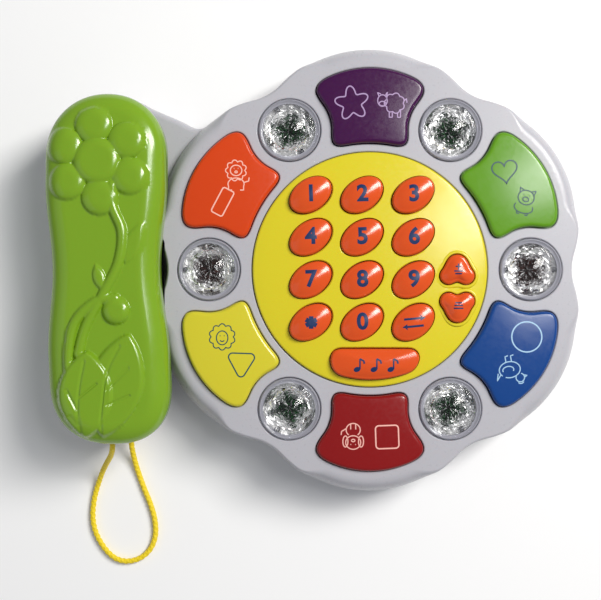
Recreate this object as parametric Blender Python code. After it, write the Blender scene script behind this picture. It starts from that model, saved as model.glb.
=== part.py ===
"""Flower-shaped toy telephone.

A hollow two-shell base carries a round keypad, six petal buttons and six light jewels. A cradle
arm on its left holds a lift-off handset, which a short cord ties to the base.

The origin is on the table under the middle of the flower. +X points away from the handset,
+Y to the far edge and +Z up. Lengths are in metres.
"""

import math

import bmesh
import bpy
from mathutils import Vector

MM = 0.001
TAU = 2.0 * math.pi

# Walls and fits
WALL = 2.4 * MM  # side walls of both base shells
SKIN = 2.2 * MM  # floor of the base, top of the base and the handset's walls
SEAM = 0.3 * MM  # between pieces that touch or are screwed together
SLIDE_GAP = 0.4 * MM  # round each key and button in its opening

# Keypad
KEY_LENGTH = 19.4 * MM
KEY_WIDTH = 13.2 * MM
KEY_TILT = math.radians(35.0)
KEY_GAP_X = 3.85 * MM  # between neighbours in a row, at their widest
KEY_GAP_Y = 2.25 * MM  # between neighbours in a column, at their tallest
KEY_FLANGE = 0.8 * MM  # stop flange under the plate
KEY_RISE = 3.4 * MM  # above the plate's edge
KEY_GRID = (-3.5 * MM, 4.5 * MM)  # middle of the twelve keys
KEYPAD_MARGIN = 2.75 * MM  # from the corner key to the plate's edge
KEYPAD_CROWN = 2.2 * MM
PLATE_SKIRT = 1.4 * MM  # wall round the plate, below its top
HEART_WIDTH = 14.6 * MM
HEART_HEIGHT = 11.4 * MM
HEART_GAP = 2.3 * MM  # from the right-hand column to the hearts
HEART_PITCH = 14.7 * MM
HEART_MIDDLE_Y = -8.0 * MM
MUSIC_WIDTH = 37.2 * MM
MUSIC_MIDDLE_X = 2.0 * MM
MUSIC_GAP = 3.3 * MM  # below the lowest row of keys
MUSIC_MARGIN = 3.15 * MM  # from the bar's curved edge to the plate's edge

# Jewels and petals
LOBES = 6
JEWEL_RADIUS = 13.0 * MM
JEWEL_GAP = 5.3 * MM  # between the keypad plate and each jewel
JEWEL_HEIGHT = 6.2 * MM
JEWEL_WALL = 1.5 * MM
JEWEL_FLANGE = 0.9 * MM
PETAL_GAP = 3.85 * MM  # between the keypad plate and each petal button
PETAL_WEB = 5.0 * MM  # between a jewel and the petal buttons beside it
PETAL_LENGTH = 31.4 * MM  # along the flower's radius
PETAL_RISE = 3.0 * MM
PETAL_WALL = 2.0 * MM
PETAL_FLANGE = 1.3 * MM
PETAL_OUTER_BLEND = 6.3 * MM
PETAL_INNER_BLEND = 3.9 * MM

# Flower housing
JEWEL_RIM = 5.79 * MM  # from a jewel's outer edge to the dip between two lobes
LOBE_BLEND = 5.7 * MM
DIP_SLOPE = 0.28  # how much of the lobes' side slope is left beside the jewels
RIM_WIDTH = 10.8 * MM  # from a petal button's outer edge to the lobe's tip
PARTING_Z = 16.0 * MM
DECK_Z = 22.0 * MM  # top of the cradle arm
KEY_STACK = 11.4 * MM  # from the circuit board to the flower's top

# Power
BATTERY_DIAMETER = 14.2 * MM
BATTERY_LENGTH = 49.3 * MM
BATTERIES = 3
BATTERY_CLEARANCE = 0.5 * MM
BAY_WALL = 3.0 * MM
BAY_ROOF = 1.6 * MM
BAY_FIRST_Y = 13.6 * MM  # near wall of the battery bay
DOOR_THICKNESS = 1.8 * MM
DOOR_LEDGE = 1.5 * MM
DOOR_INSET = 0.2 * MM  # above the table
CONTACT_THICKNESS = 0.5 * MM
DOOR_TAB = 7.0 * MM
DOOR_SCREW_LENGTH = 7.0 * MM
DOOR_SEAT = 1.0 * MM
SPEAKER_RADIUS = 19.5 * MM
SPEAKER_Y = -42.0 * MM
SWITCH_X = 47.0 * MM
SWITCH_TRAVEL = 4.0 * MM
BOARD_RADIUS = 76.0 * MM
BOARD_THICKNESS = 1.6 * MM

# Handset
HANDSET_LENGTH = 144.5 * MM
HANDSET_WIDTH = 49.8 * MM
HANDSET_GRIP_WIDTH = 44.2 * MM
HANDSET_OVERHANG = 6.0 * MM  # how far it leans over the flower's side, seen from above
HANDSET_END = 26.0 * MM  # length of each rounded end
HANDSET_LIFT = 2.0 * MM  # from the cradle's deck to the handset's underside
HANDSET_SEAM_RISE = 3.3 * MM  # from the flower's top to the handset's parting line
HANDSET_CROWN_RISE = 12.6 * MM  # from the parting line to the handset's top
PAD_RADIUS = 15.0 * MM  # ear and mouth pads under the handset
PAD_DEPTH = 4.6 * MM
PAD_REACH = 28.0 * MM  # from each end of the handset to the middle of its pad
PAD_GAP = 0.8 * MM
SLOT_WIDTH = 4.2 * MM  # open slot between the cradle's waist and the flower

# Relief on the handset, about its middle
BLOOM = (-3.5 * MM, 43.7 * MM)
BLOOM_RADIUS = 9.7 * MM
BLOOM_HEART_RISE = 0.4 * MM  # how much higher the bloom's heart is than its petals
BLOOM_PETALS = 6
BLOOM_PETAL_RADIUS = 6.9 * MM
BLOOM_PETAL_RING = 14.4 * MM
BLOOM_TURN = math.radians(35.0)
RELIEF = 1.9 * MM
RELIEF_EDGE = 1.2 * MM
RELIEF_ROOT = 6.0 * MM  # how far its bodies reach down into the shell
STEM_RADIUS = 2.1 * MM
STEM_RISE = 1.4 * MM
STEM = [
    (2.7 * MM, 34.0 * MM),
    (2.9 * MM, 25.3 * MM),
    (6.8 * MM, 14.8 * MM),
    (5.2 * MM, 2.2 * MM),
    (-0.5 * MM, -9.6 * MM),
    (-7.8 * MM, -23.3 * MM),
    (-11.0 * MM, -34.7 * MM),
]
TENDRIL = [
    (-15.5 * MM, -39.6 * MM),
    (-12.7 * MM, -22.5 * MM),
    (-4.1 * MM, -13.6 * MM),
    (4.0 * MM, -12.0 * MM),
]
BUD = (4.4 * MM, -17.2 * MM)
BUD_RADIUS = 5.7 * MM
LEAF_STEPS = 10
LEAF_FULLNESS = 0.8
LEAVES = [
    ((9.6 * MM, -26.6 * MM), (-1.0 * MM, -68.5 * MM), 19.0 * MM, 1.5 * MM),
    ((-7.4 * MM, -33.5 * MM), (-8.2 * MM, -68.8 * MM), 20.0 * MM, 2.0 * MM),
    ((-4.0 * MM, 1.6 * MM), (-1.0 * MM, -8.9 * MM), 5.3 * MM, 1.2 * MM),
]

# Fasteners
SCREW_HEAD_RADIUS = 2.4 * MM
SCREW_HEAD_HEIGHT = 1.8 * MM
SCREW_RADIUS = 1.3 * MM
SCREW_CLEARANCE = 0.4 * MM
SCREW_SEAT_Z = 8.0 * MM
SCREW_LENGTH = 12.5 * MM
TOWER_WALL = 1.0 * MM
TOWER_SPREAD = math.radians(22.0)  # from a lobe's axis to its screw tower
TOWER_INSET = 2.0 * MM  # inside the petal buttons' outer edge

# Cord
CORD_DIAMETER = 2.5 * MM
CORD_HOLE_GAP = 0.6 * MM
KNOT_RADIUS = 3.0 * MM
CORD_ROUTE = [
    (-108.7, -65.0, 30.0),
    (-108.7, -70.5, 30.0),
    (-108.9, -75.6, 27.8),
    (-110.6, -79.6, 21.4),
    (-113.6, -83.8, 13.4),
    (-116.6, -88.6, 6.6),
    (-119.2, -94.6, 2.6),
    (-121.2, -101.6, 1.45),
    (-121.9, -109.0, 1.4),
    (-120.9, -115.6, 1.4),
    (-118.2, -121.4, 1.4),
    (-114.2, -126.4, 1.4),
    (-109.6, -129.1, 1.4),
    (-104.4, -129.3, 1.4),
    (-99.4, -127.3, 1.4),
    (-95.6, -123.1, 1.4),
    (-93.9, -117.3, 1.4),
    (-94.3, -110.6, 1.4),
    (-96.2, -103.9, 1.4),
    (-98.8, -97.4, 1.4),
    (-101.2, -90.8, 1.5),
    (-103.0, -84.0, 3.0),
    (-103.8, -77.6, 6.2),
    (-103.9, -71.5, 7.6),
    (-103.9, -66.0, 7.8),
]

# Worked out from the sizes above
KEY_HALF_X = math.hypot(KEY_LENGTH * math.cos(KEY_TILT), KEY_WIDTH * math.sin(KEY_TILT)) / 2
KEY_HALF_Y = math.hypot(KEY_LENGTH * math.sin(KEY_TILT), KEY_WIDTH * math.cos(KEY_TILT)) / 2
KEY_PITCH_X = 2 * KEY_HALF_X + KEY_GAP_X
KEY_PITCH_Y = 2 * KEY_HALF_Y + KEY_GAP_Y
CORNER_KEY = (KEY_GRID[0] - KEY_PITCH_X, KEY_GRID[1] + 1.5 * KEY_PITCH_Y)
KEYPAD_RADIUS = math.hypot(*CORNER_KEY) + KEY_WIDTH / 2 + KEYPAD_MARGIN
JEWEL_RING = KEYPAD_RADIUS + JEWEL_GAP + JEWEL_RADIUS
PETAL_INNER = KEYPAD_RADIUS + PETAL_GAP
PETAL_OUTER = PETAL_INNER + PETAL_LENGTH
LOBE_TIP = PETAL_OUTER + RIM_WIDTH
DOOR_TOP_Z = DOOR_INSET + DOOR_THICKNESS
BATTERY_Z = DOOR_TOP_Z + SEAM + BATTERY_CLEARANCE + BATTERY_DIAMETER / 2
BAY_TOP_Z = BATTERY_Z + BATTERY_DIAMETER / 2 + BATTERY_CLEARANCE
BOARD_Z = BAY_TOP_Z + BAY_ROOF + 2 * SEAM
BOARD_TOP_Z = BOARD_Z + BOARD_THICKNESS
TOP_Z = BOARD_TOP_Z + KEY_STACK
UNDER_Z = TOP_Z - SKIN
HANDSET_UNDER_Z = DECK_Z + HANDSET_LIFT
HANDSET_SEAM_Z = TOP_Z + HANDSET_SEAM_RISE
HANDSET_CROWN_Z = HANDSET_SEAM_Z + HANDSET_CROWN_RISE
HANDSET_SCREW_Z = HANDSET_UNDER_Z + HANDSET_LIFT
BAY_WIDTH = BATTERIES * (BATTERY_DIAMETER + BATTERY_CLEARANCE) + BATTERY_CLEARANCE
BAY_LENGTH = BATTERY_LENGTH + 2 * (CONTACT_THICKNESS + BATTERY_CLEARANCE + SEAM) + 2.4 * MM
BAY_MIDDLE_Y = BAY_FIRST_Y + BAY_WIDTH / 2
DOOR_SCREW_Y = BAY_MIDDLE_Y + BAY_WIDTH / 2 + DOOR_LEDGE + DOOR_TAB / 2 + 0.1 * MM
TOWER_RADIUS = SCREW_RADIUS + SCREW_CLEARANCE + TOWER_WALL
HOLE_RADIUS = SCREW_RADIUS + SCREW_CLEARANCE
SEAT_RADIUS = SCREW_HEAD_RADIUS + SCREW_CLEARANCE
TOWER_RING = PETAL_OUTER - TOWER_INSET


def smooth_max(a, b, blend):
    """The larger of two values, with the corner between them rounded."""
    near = max(blend - abs(a - b), 0.0) / blend
    return max(a, b) + near * near * blend / 4


def smooth_min(a, b, blend):
    return -smooth_max(-a, -b, blend)


def lobe_reach(offset, turn):
    """How far a lobe reaches at an angle from its own axis, when its arc's middle is at an offset."""
    radius = LOBE_TIP - offset
    side = offset * math.sin(turn)
    return offset * math.cos(turn) + math.sqrt(max(radius**2 - side**2, 0.0))


def lobe_offset():
    """Where the middle of each lobe's arc lies for the dips to clear the jewels by their rim."""
    wanted = JEWEL_RING + JEWEL_RADIUS + JEWEL_RIM
    half_step = math.pi / LOBES
    near, far = 0.0, LOBE_TIP
    for _ in range(60):
        middle = (near + far) / 2
        if lobe_reach(middle, half_step) + LOBE_BLEND / 4 > wanted:
            near = middle
        else:
            far = middle
    return near


LOBE_OFFSET = lobe_offset()
LOBE_RADIUS = LOBE_TIP - LOBE_OFFSET


def flower_radius(angle):
    """The flower's outline: six arcs on a ring, run smoothly into each other."""
    step = TAU / LOBES
    off_axis = abs(angle % step - step / 2)
    near, next_one = lobe_reach(LOBE_OFFSET, off_axis), lobe_reach(LOBE_OFFSET, step - off_axis)
    return smooth_max(near, next_one, LOBE_BLEND)


DIP_RADIUS = flower_radius(math.pi)
FLOWER_LEFT = LOBE_OFFSET * math.cos(math.pi / LOBES) + LOBE_RADIUS
HANDSET_X = -(FLOWER_LEFT + HANDSET_WIDTH / 2 - HANDSET_OVERHANG)
PAD_Y = HANDSET_LENGTH / 2 - PAD_REACH
SLOT_X = -(DIP_RADIUS + SLOT_WIDTH / 2) + 0.2 * MM
GRIP_RADIUS = -HANDSET_X - DIP_RADIUS - SLOT_WIDTH
EAR_RADIUS = HANDSET_WIDTH / 2 + 0.6 * MM
EAR_Y = HANDSET_LENGTH / 2 + 2.75 * MM - EAR_RADIUS
MOUTH_RADIUS = HANDSET_WIDTH / 2 - 3.4 * MM
MOUTH_Y = -HANDSET_LENGTH / 2 + 0.25 * MM + MOUTH_RADIUS
NECK_END = (HANDSET_X + 17.5 * MM, EAR_Y - 7.5 * MM)
BRIDGE_Y = -30.0 * MM
BRIDGE_RADIUS = 8.0 * MM
ARM_BLEND = 6.0 * MM


def capsule(x, y, start, end, radius):
    """How far a point lies inside a round-ended bar; negative outside."""
    ax, ay = start
    bx, by = end[0] - ax, end[1] - ay
    along = ((x - ax) * bx + (y - ay) * by) / max(bx * bx + by * by, 1e-12)
    along = min(max(along, 0.0), 1.0)
    return radius - math.hypot(x - ax - along * bx, y - ay - along * by)


def base_field(x, y):
    """Positive inside the base's outline: the flower, the cradle, its neck and its bridge."""
    ear, mouth = (HANDSET_X, EAR_Y), (HANDSET_X, MOUTH_Y)
    neck = capsule(x, y, ear, NECK_END, EAR_RADIUS - 0.5 * MM)
    top = max(capsule(x, y, ear, ear, EAR_RADIUS), neck)
    bottom = capsule(x, y, mouth, mouth, MOUTH_RADIUS)
    grip = capsule(x, y, ear, mouth, GRIP_RADIUS)
    bridge = capsule(x, y, (HANDSET_X, BRIDGE_Y), (-DIP_RADIUS, BRIDGE_Y), BRIDGE_RADIUS)
    arm = smooth_max(max(top, bottom), max(grip, bridge), ARM_BLEND)
    flower = flower_radius(math.atan2(y, x)) - math.hypot(x, y)
    return smooth_max(flower, arm, ARM_BLEND)


def follow(field, start, step):
    """The outline where a field is zero, walked anticlockwise in even steps."""
    tiny = 0.01 * MM

    def slope(x, y):
        gx = (field(x + tiny, y) - field(x - tiny, y)) / (2 * tiny)
        gy = (field(x, y + tiny) - field(x, y - tiny)) / (2 * tiny)
        return gx, gy

    def settle(x, y):
        for _ in range(4):
            gx, gy = slope(x, y)
            push = field(x, y) / (gx * gx + gy * gy)
            x, y = x - gx * push, y - gy * push
        return x, y

    def walk(stride):
        loop = [settle(*start)]
        while len(loop) < 4 or math.dist(loop[-1], loop[0]) > stride * 1.02:
            x, y = loop[-1]
            gx, gy = slope(x, y)
            size = math.hypot(gx, gy)
            loop.append(settle(x + gy / size * stride, y - gx / size * stride))
        return loop

    first = walk(step / 3)
    length = sum(math.dist(a, b) for a, b in zip(first, first[1:] + first[:1]))
    count = round(length / step)
    corners, travelled = [], 0.0
    for a, b in zip(first, first[1:] + first[:1]):
        side = math.dist(a, b)
        while len(corners) < count and length * len(corners) / count < travelled + side:
            share = (length * len(corners) / count - travelled) / side
            corners.append(settle(a[0] + (b[0] - a[0]) * share, a[1] + (b[1] - a[1]) * share))
        travelled += side
    return corners


def around(field, centre, count, reach):
    """The outline where a field is zero, found along rays from a point inside it."""
    loop = []
    for i in range(count):
        dx, dy = math.cos(TAU * i / count), math.sin(TAU * i / count)
        near, far = 0.0, reach
        for _ in range(40):
            middle = (near + far) / 2
            if field(centre[0] + dx * middle, centre[1] + dy * middle) > 0:
                near = middle
            else:
                far = middle
        loop.append((centre[0] + dx * near, centre[1] + dy * near))
    return loop


def inset(loop, distance):
    """An anticlockwise loop moved inwards along its own normals."""
    return inset_each(loop, [distance] * len(loop))


def inset_each(loop, distances):
    """The same, with a distance for each point."""
    moved = []
    for i, ((x, y), distance) in enumerate(zip(loop, distances)):
        ax, ay = loop[i - 1]
        bx, by = loop[(i + 1) % len(loop)]
        size = math.hypot(bx - ax, by - ay)
        moved.append((x - (by - ay) / size * distance, y + (bx - ax) / size * distance))
    return moved


def shrink(loop, share):
    """A loop scaled about its own middle."""
    return [(x * share, y * share) for x, y in loop]


def shift(loop, x, y):
    return [(px + x, py + y) for px, py in loop]


def turn(loop, angle):
    c, s = math.cos(angle), math.sin(angle)
    return [(x * c - y * s, x * s + y * c) for x, y in loop]


def ellipse(length, width, count, tilt=0.0):
    angles = [TAU * i / count for i in range(count)]
    return turn([(length / 2 * math.cos(a), width / 2 * math.sin(a)) for a in angles], tilt)


def circle(radius, count):
    return ellipse(2 * radius, 2 * radius, count)


def rectangle(length, width):
    x, y = length / 2, width / 2
    return [(-x, -y), (x, -y), (x, y), (-x, y)]


def loft(rings, bm=None):
    """A closed body through rings with equal numbers of points, capped at both ends."""
    bm = bm or bmesh.new()
    layers = [[bm.verts.new((x, y, z)) for x, y in loop] for loop, z in rings]
    count = len(layers[0])
    faces = [bm.faces.new(layers[0]), bm.faces.new(layers[-1])]
    for low, high in zip(layers, layers[1:]):
        for i in range(count):
            j = (i + 1) % count
            faces.append(bm.faces.new((low[i], low[j], high[j], high[i])))
    bmesh.ops.recalc_face_normals(bm, faces=faces)
    if body_volume(faces) < 0:
        bmesh.ops.reverse_faces(bm, faces=faces)
    return bm


def body_volume(faces):
    """Six times the volume that faces enclose; negative when they face inwards."""
    total = 0.0
    for face in faces:
        corners = [vertex.co for vertex in face.verts]
        normal = face.normal
        total += 2 * face.calc_area() * corners[0].dot(normal)
    return total


def prism(loop, low, high, bm=None):
    return loft([(loop, low), (loop, high)], bm)


def lathe(profile, count):
    """A body turned about +Z from a profile of (radius, height), closed on its axis."""
    bm = bmesh.new()
    bottom = bm.verts.new((0, 0, profile[0][1]))
    top = bm.verts.new((0, 0, profile[-1][1]))
    rings = [[bm.verts.new((x, y, z)) for x, y in circle(r, count)] for r, z in profile[1:-1]]
    for i in range(count):
        j = (i + 1) % count
        bm.faces.new((bottom, rings[0][j], rings[0][i]))
        for low, high in zip(rings, rings[1:]):
            bm.faces.new((low[i], low[j], high[j], high[i]))
        bm.faces.new((rings[-1][i], rings[-1][j], top))
    bmesh.ops.recalc_face_normals(bm, faces=bm.faces)
    return bm


def add(name, bm, place=(0, 0, 0), rotation=(0, 0, 0), parent=None):
    """A new object from a bmesh, with round faces smooth and true edges sharp."""
    mesh = bpy.data.meshes.new(name)
    bm.to_mesh(mesh)
    bm.free()
    mesh.shade_smooth()
    mesh.set_sharp_from_angle(angle=math.radians(35))
    piece = bpy.data.objects.new(name, mesh)
    piece.location = place
    piece.rotation_euler = rotation
    piece.parent = parent
    bpy.context.collection.objects.link(piece)
    return piece


def paint(piece, colour, roughness, metallic=0.0, clear=0.0):
    """A material of the piece's own."""
    material = bpy.data.materials.new(piece.name)
    material.use_nodes = True
    shader = material.node_tree.nodes["Principled BSDF"]
    shader.inputs["Base Color"].default_value = (*colour, 1.0)
    shader.inputs["Roughness"].default_value = roughness
    shader.inputs["Metallic"].default_value = metallic
    shader.inputs["Transmission Weight"].default_value = clear
    piece.data.materials.append(material)
    return piece


def cutter(name, bm):
    piece = add(name, bm)
    piece.hide_render = True
    piece.display_type = "WIRE"
    return piece


def combine(piece, other, operation):
    """A live Boolean of the piece with a hidden guide."""
    step = piece.modifiers.new(other.name, "BOOLEAN")
    step.operation = operation
    step.solver = "EXACT"
    step.object = other


def carrier(name, place):
    """An empty on a joint's axis, which carries the pieces that move with it."""
    empty = bpy.data.objects.new(name, None)
    empty.location = place
    bpy.context.collection.objects.link(empty)
    return empty


WHITE = (0.80, 0.80, 0.83)
YELLOW = (0.82, 0.70, 0.04)
KEY_RED = (0.80, 0.07, 0.01)
GREEN = (0.24, 0.55, 0.03)
STEEL = (0.60, 0.60, 0.62)
SILICONE = (0.55, 0.56, 0.58)
PETAL_COLOURS = {
    "green": (0.14, 0.36, 0.03),
    "purple": (0.07, 0.01, 0.13),
    "orange": (0.70, 0.08, 0.01),
    "yellow": (0.80, 0.70, 0.05),
    "red": (0.40, 0.01, 0.01),
    "blue": (0.01, 0.08, 0.35),
}


def lobe_axes():
    """Each lobe's number and direction, anticlockwise from the first past +X."""
    return [(i, (i + 0.5) * TAU / LOBES) for i in range(LOBES)]


def petal_loop(count):
    """A petal button's outline for the lobe on +X, where rim, jewels and keypad leave it room."""
    side = JEWEL_RADIUS + PETAL_WEB
    half_step = math.pi / LOBES
    jewels = [
        (JEWEL_RING * math.cos(half_step), sign * JEWEL_RING * math.sin(half_step))
        for sign in (-1, 1)
    ]

    def field(x, y):
        outer = PETAL_OUTER - LOBE_OFFSET - math.hypot(x - LOBE_OFFSET, y)
        sides = min(math.hypot(x - jx, y - jy) for jx, jy in jewels) - side
        inner = math.hypot(x, y) - PETAL_INNER
        return smooth_min(smooth_min(outer, sides, PETAL_OUTER_BLEND), inner, PETAL_INNER_BLEND)

    middle = (PETAL_INNER + PETAL_OUTER) / 2
    return shift(around(field, (middle, 0), count, PETAL_LENGTH), -middle, 0), middle


def key_places():
    """Name and place of each of the twelve oval keys."""
    names = "1 2 3 4 5 6 7 8 9 star 0 function".split()
    places = {}
    for i, name in enumerate(names):
        row, column = divmod(i, 3)
        x = KEY_GRID[0] + (column - 1) * KEY_PITCH_X
        y = KEY_GRID[1] + (1.5 - row) * KEY_PITCH_Y
        places["key_" + name] = (x, y)
    return places


def heart_loop(count, way=1):
    """A heart with its notch upwards, or downwards where way is -1."""
    radius = HEART_WIDTH * 0.25
    shoulder = (HEART_WIDTH / 2 - radius, HEART_HEIGHT / 2 - radius)
    tip = (0.0, -HEART_HEIGHT / 2 + radius * 0.8)

    def field(x, y):
        bar = capsule(abs(x), way * y, shoulder, tip, radius * 0.9)
        return max(bar, capsule(abs(x), way * y, shoulder, shoulder, radius))

    return around(field, (0, 0), count, HEART_WIDTH)


def music_loop(count):
    """The bar key: a straight top edge, and a bottom edge that follows the plate's."""
    top = KEY_GRID[1] - 1.5 * KEY_PITCH_Y - KEY_HALF_Y - MUSIC_GAP
    rim = KEYPAD_RADIUS - MUSIC_MARGIN
    middle = (MUSIC_MIDDLE_X, (top - rim) / 2)

    def field(x, y):
        ends = MUSIC_WIDTH / 2 - abs(x - MUSIC_MIDDLE_X)
        edges = min(top - y, rim - math.hypot(x, y))
        return smooth_min(ends, edges, 5 * MM)

    return shift(around(field, middle, count, MUSIC_WIDTH), -middle[0], -middle[1]), middle


def key_outlines():
    """Every key's outline about its own middle, and the place of that middle."""
    outlines = {}
    for name, place in key_places().items():
        outlines[name] = (ellipse(KEY_LENGTH, KEY_WIDTH, 12, KEY_TILT), place)
    heart_x = KEY_GRID[0] + KEY_PITCH_X + KEY_HALF_X + HEART_GAP + HEART_WIDTH / 2
    half = HEART_PITCH / 2
    up, down = (heart_x, HEART_MIDDLE_Y + half), (heart_x, HEART_MIDDLE_Y - half)
    outlines["key_heart_up"] = (heart_loop(14, -1), up)
    outlines["key_heart_down"] = (heart_loop(14), down)
    outlines["key_music"] = music_loop(16)
    return outlines


def add_keys():
    """Fifteen keys: a crowned cap, a stop flange under the plate and a plunger below it."""
    flange_z = UNDER_Z + 0.3 * MM
    cap_z = TOP_Z + 1.2 * MM + KEY_RISE
    for name, (loop, (x, y)) in key_outlines().items():
        foot = circle(2.6 * MM, len(loop))
        rings = [
            (foot, BOARD_TOP_Z + 4.6 * MM - flange_z),
            (foot, 0.0),
            (inset(loop, -KEY_FLANGE), 0.0),
            (inset(loop, -KEY_FLANGE), 1.4 * MM),
            (loop, 1.4 * MM),
            (loop, cap_z - flange_z - 1.0 * MM),
            (shrink(loop, 0.9), cap_z - flange_z + 0.3 * MM),
            (shrink(loop, 0.66), cap_z - flange_z + 1.2 * MM),
        ]
        paint(add(name, loft(rings), (x, y, flange_z)), KEY_RED, 0.25)


def add_keypad_plate():
    """The round plate, crowned on top and flat underneath, snapped in from below."""
    under = UNDER_Z + 2.2 * MM
    edge = TOP_Z + 1.2 * MM
    flange = UNDER_Z - SEAM
    outer = KEYPAD_RADIUS
    profile = [
        (0, under),
        (outer - PLATE_SKIRT, under),
        (outer - PLATE_SKIRT, flange - 1.5 * MM),
        (outer + 1.7 * MM, flange - 1.5 * MM),
        (outer + 1.7 * MM, flange),
        (outer, flange),
        (outer, edge - 0.7 * MM),
        (outer - 0.7 * MM, edge),
        (outer * 0.55, edge + KEYPAD_CROWN * 0.7),
        (0, edge + KEYPAD_CROWN),
    ]
    plate = paint(add("keypad_plate", lathe(profile, 40)), YELLOW, 0.3)
    holes = bmesh.new()
    for loop, (x, y) in key_outlines().values():
        hole = shift(inset(loop, -SLIDE_GAP), x, y)
        prism(hole, under - 3 * MM, edge + KEYPAD_CROWN + 3 * MM, holes)
    combine(plate, cutter("cut_key_holes", holes), "DIFFERENCE")


def add_petal_buttons():
    """Six hollow caps with a stop flange under the housing's top."""
    loop, middle = petal_loop(20)
    inner = inset(loop, PETAL_WALL)
    flange = inset(loop, -PETAL_FLANGE)
    flange_z = UNDER_Z - SEAM - 1.6 * MM
    cap = TOP_Z + PETAL_RISE - flange_z
    rings = [
        (inner, cap - PETAL_WALL),
        (inner, 0.0),
        (flange, 0.0),
        (flange, 1.6 * MM),
        (loop, 1.6 * MM),
        (loop, cap - 1.3 * MM),
        (inset(loop, 0.7 * MM), cap - 0.3 * MM),
        (inset(loop, 2.4 * MM), cap),
    ]
    for (i, axis), (name, colour) in zip(lobe_axes(), PETAL_COLOURS.items()):
        x, y = middle * math.cos(axis), middle * math.sin(axis)
        button = add("petal_button_" + name, loft(rings), (x, y, flange_z), (0, 0, axis))
        paint(button, colour, 0.25)


def jewel_places():
    step = TAU / LOBES
    angles = [i * step for i in range(LOBES)]
    return [(a, JEWEL_RING * math.cos(a), JEWEL_RING * math.sin(a)) for a in angles]


def add_jewels():
    """Six clear domes held by a flange under the top, each over a silver dish."""
    flange = UNDER_Z - SEAM
    outer, inner = JEWEL_RADIUS, JEWEL_RADIUS - JEWEL_WALL
    rim = TOP_Z + 0.6 * MM
    dome = [(0.9, 0.44), (0.6, 0.8), (0.25, 0.97)]
    profile = [(0, rim + JEWEL_HEIGHT - JEWEL_WALL)]
    for share, rise in reversed(dome[:-1]):
        profile.append((inner * share, rim + (JEWEL_HEIGHT - JEWEL_WALL) * rise))
    profile += [(inner, rim), (inner, flange - 1.4 * MM)]
    profile += [(outer + JEWEL_FLANGE, flange - 1.4 * MM), (outer + JEWEL_FLANGE, flange)]
    profile += [(outer, flange), (outer, rim)]
    profile += [(outer * share, rim + JEWEL_HEIGHT * rise) for share, rise in dome]
    profile.append((0, rim + JEWEL_HEIGHT))
    dish_z = flange - 1.0 * MM
    dish = [
        (0, dish_z - 1.6 * MM),
        (inner - 3 * MM, dish_z - 1.6 * MM),
        (inner - SEAM, dish_z),
        (inner - SEAM, dish_z + 0.8 * MM),
        (inner - 3.4 * MM, dish_z - 0.6 * MM),
        (0, dish_z - 0.6 * MM),
    ]
    for i, (angle, x, y) in enumerate(jewel_places(), 1):
        lens = add(f"jewel_lens_{i}", lathe(profile, 16), (x, y, 0), (0, 0, angle))
        paint(lens, (0.95, 0.97, 0.98), 0.05, clear=1.0)
        mirror = add(f"jewel_reflector_{i}", lathe(dish, 12), (x, y, 0), (0, 0, angle))
        paint(mirror, (0.75, 0.76, 0.78), 0.2, metallic=1.0)


def base_loop(distance, step=9.0 * MM):
    """The base's outline with its arm, a hair inside the flower's own wall."""
    loop = follow(base_field, (DIP_RADIUS, 0.0), step)
    return inset(loop, distance + 0.15 * MM)


def flower_loop(wall, slope=0.0, count=60):
    """The flower's outline, inside by a wall and by a slope that is steeper beside the jewels."""
    points, distances = [], []
    for i in range(count):
        angle = TAU * i / count
        radius = flower_radius(angle)
        off_axis = abs(angle % (TAU / LOBES) - math.pi / LOBES)
        ease = min(max((off_axis * LOBES / math.pi - 0.4) / 0.27, 0.0), 1.0)
        ease = ease * ease * (3 - 2 * ease)
        points.append((radius * math.cos(angle), radius * math.sin(angle)))
        distances.append(wall + slope * (1 - ease * (1 - DIP_SLOPE)))
    return inset_each(points, distances)


def slot_loop(clearance):
    """The open slot between the cradle's waist and the flower."""
    ends = [(SLOT_X, -15 * MM), (SLOT_X, 11 * MM)]
    radius = SLOT_WIDTH / 2 + clearance
    loop = []
    for first, (x, y) in zip((math.pi, 0.0), ends):
        for i in range(6):
            angle = first + math.pi * i / 5
            loop.append((x + radius * math.cos(angle), y + radius * math.sin(angle)))
    return loop


def tower_places():
    """The four base screws: three round the flower and one under the cradle's waist."""
    places = []
    for _, axis in lobe_axes()[::2]:
        angle = axis - TOWER_SPREAD
        places.append((TOWER_RING * math.cos(angle), TOWER_RING * math.sin(angle)))
    places.append((HANDSET_X, 0.0))
    return places


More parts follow.
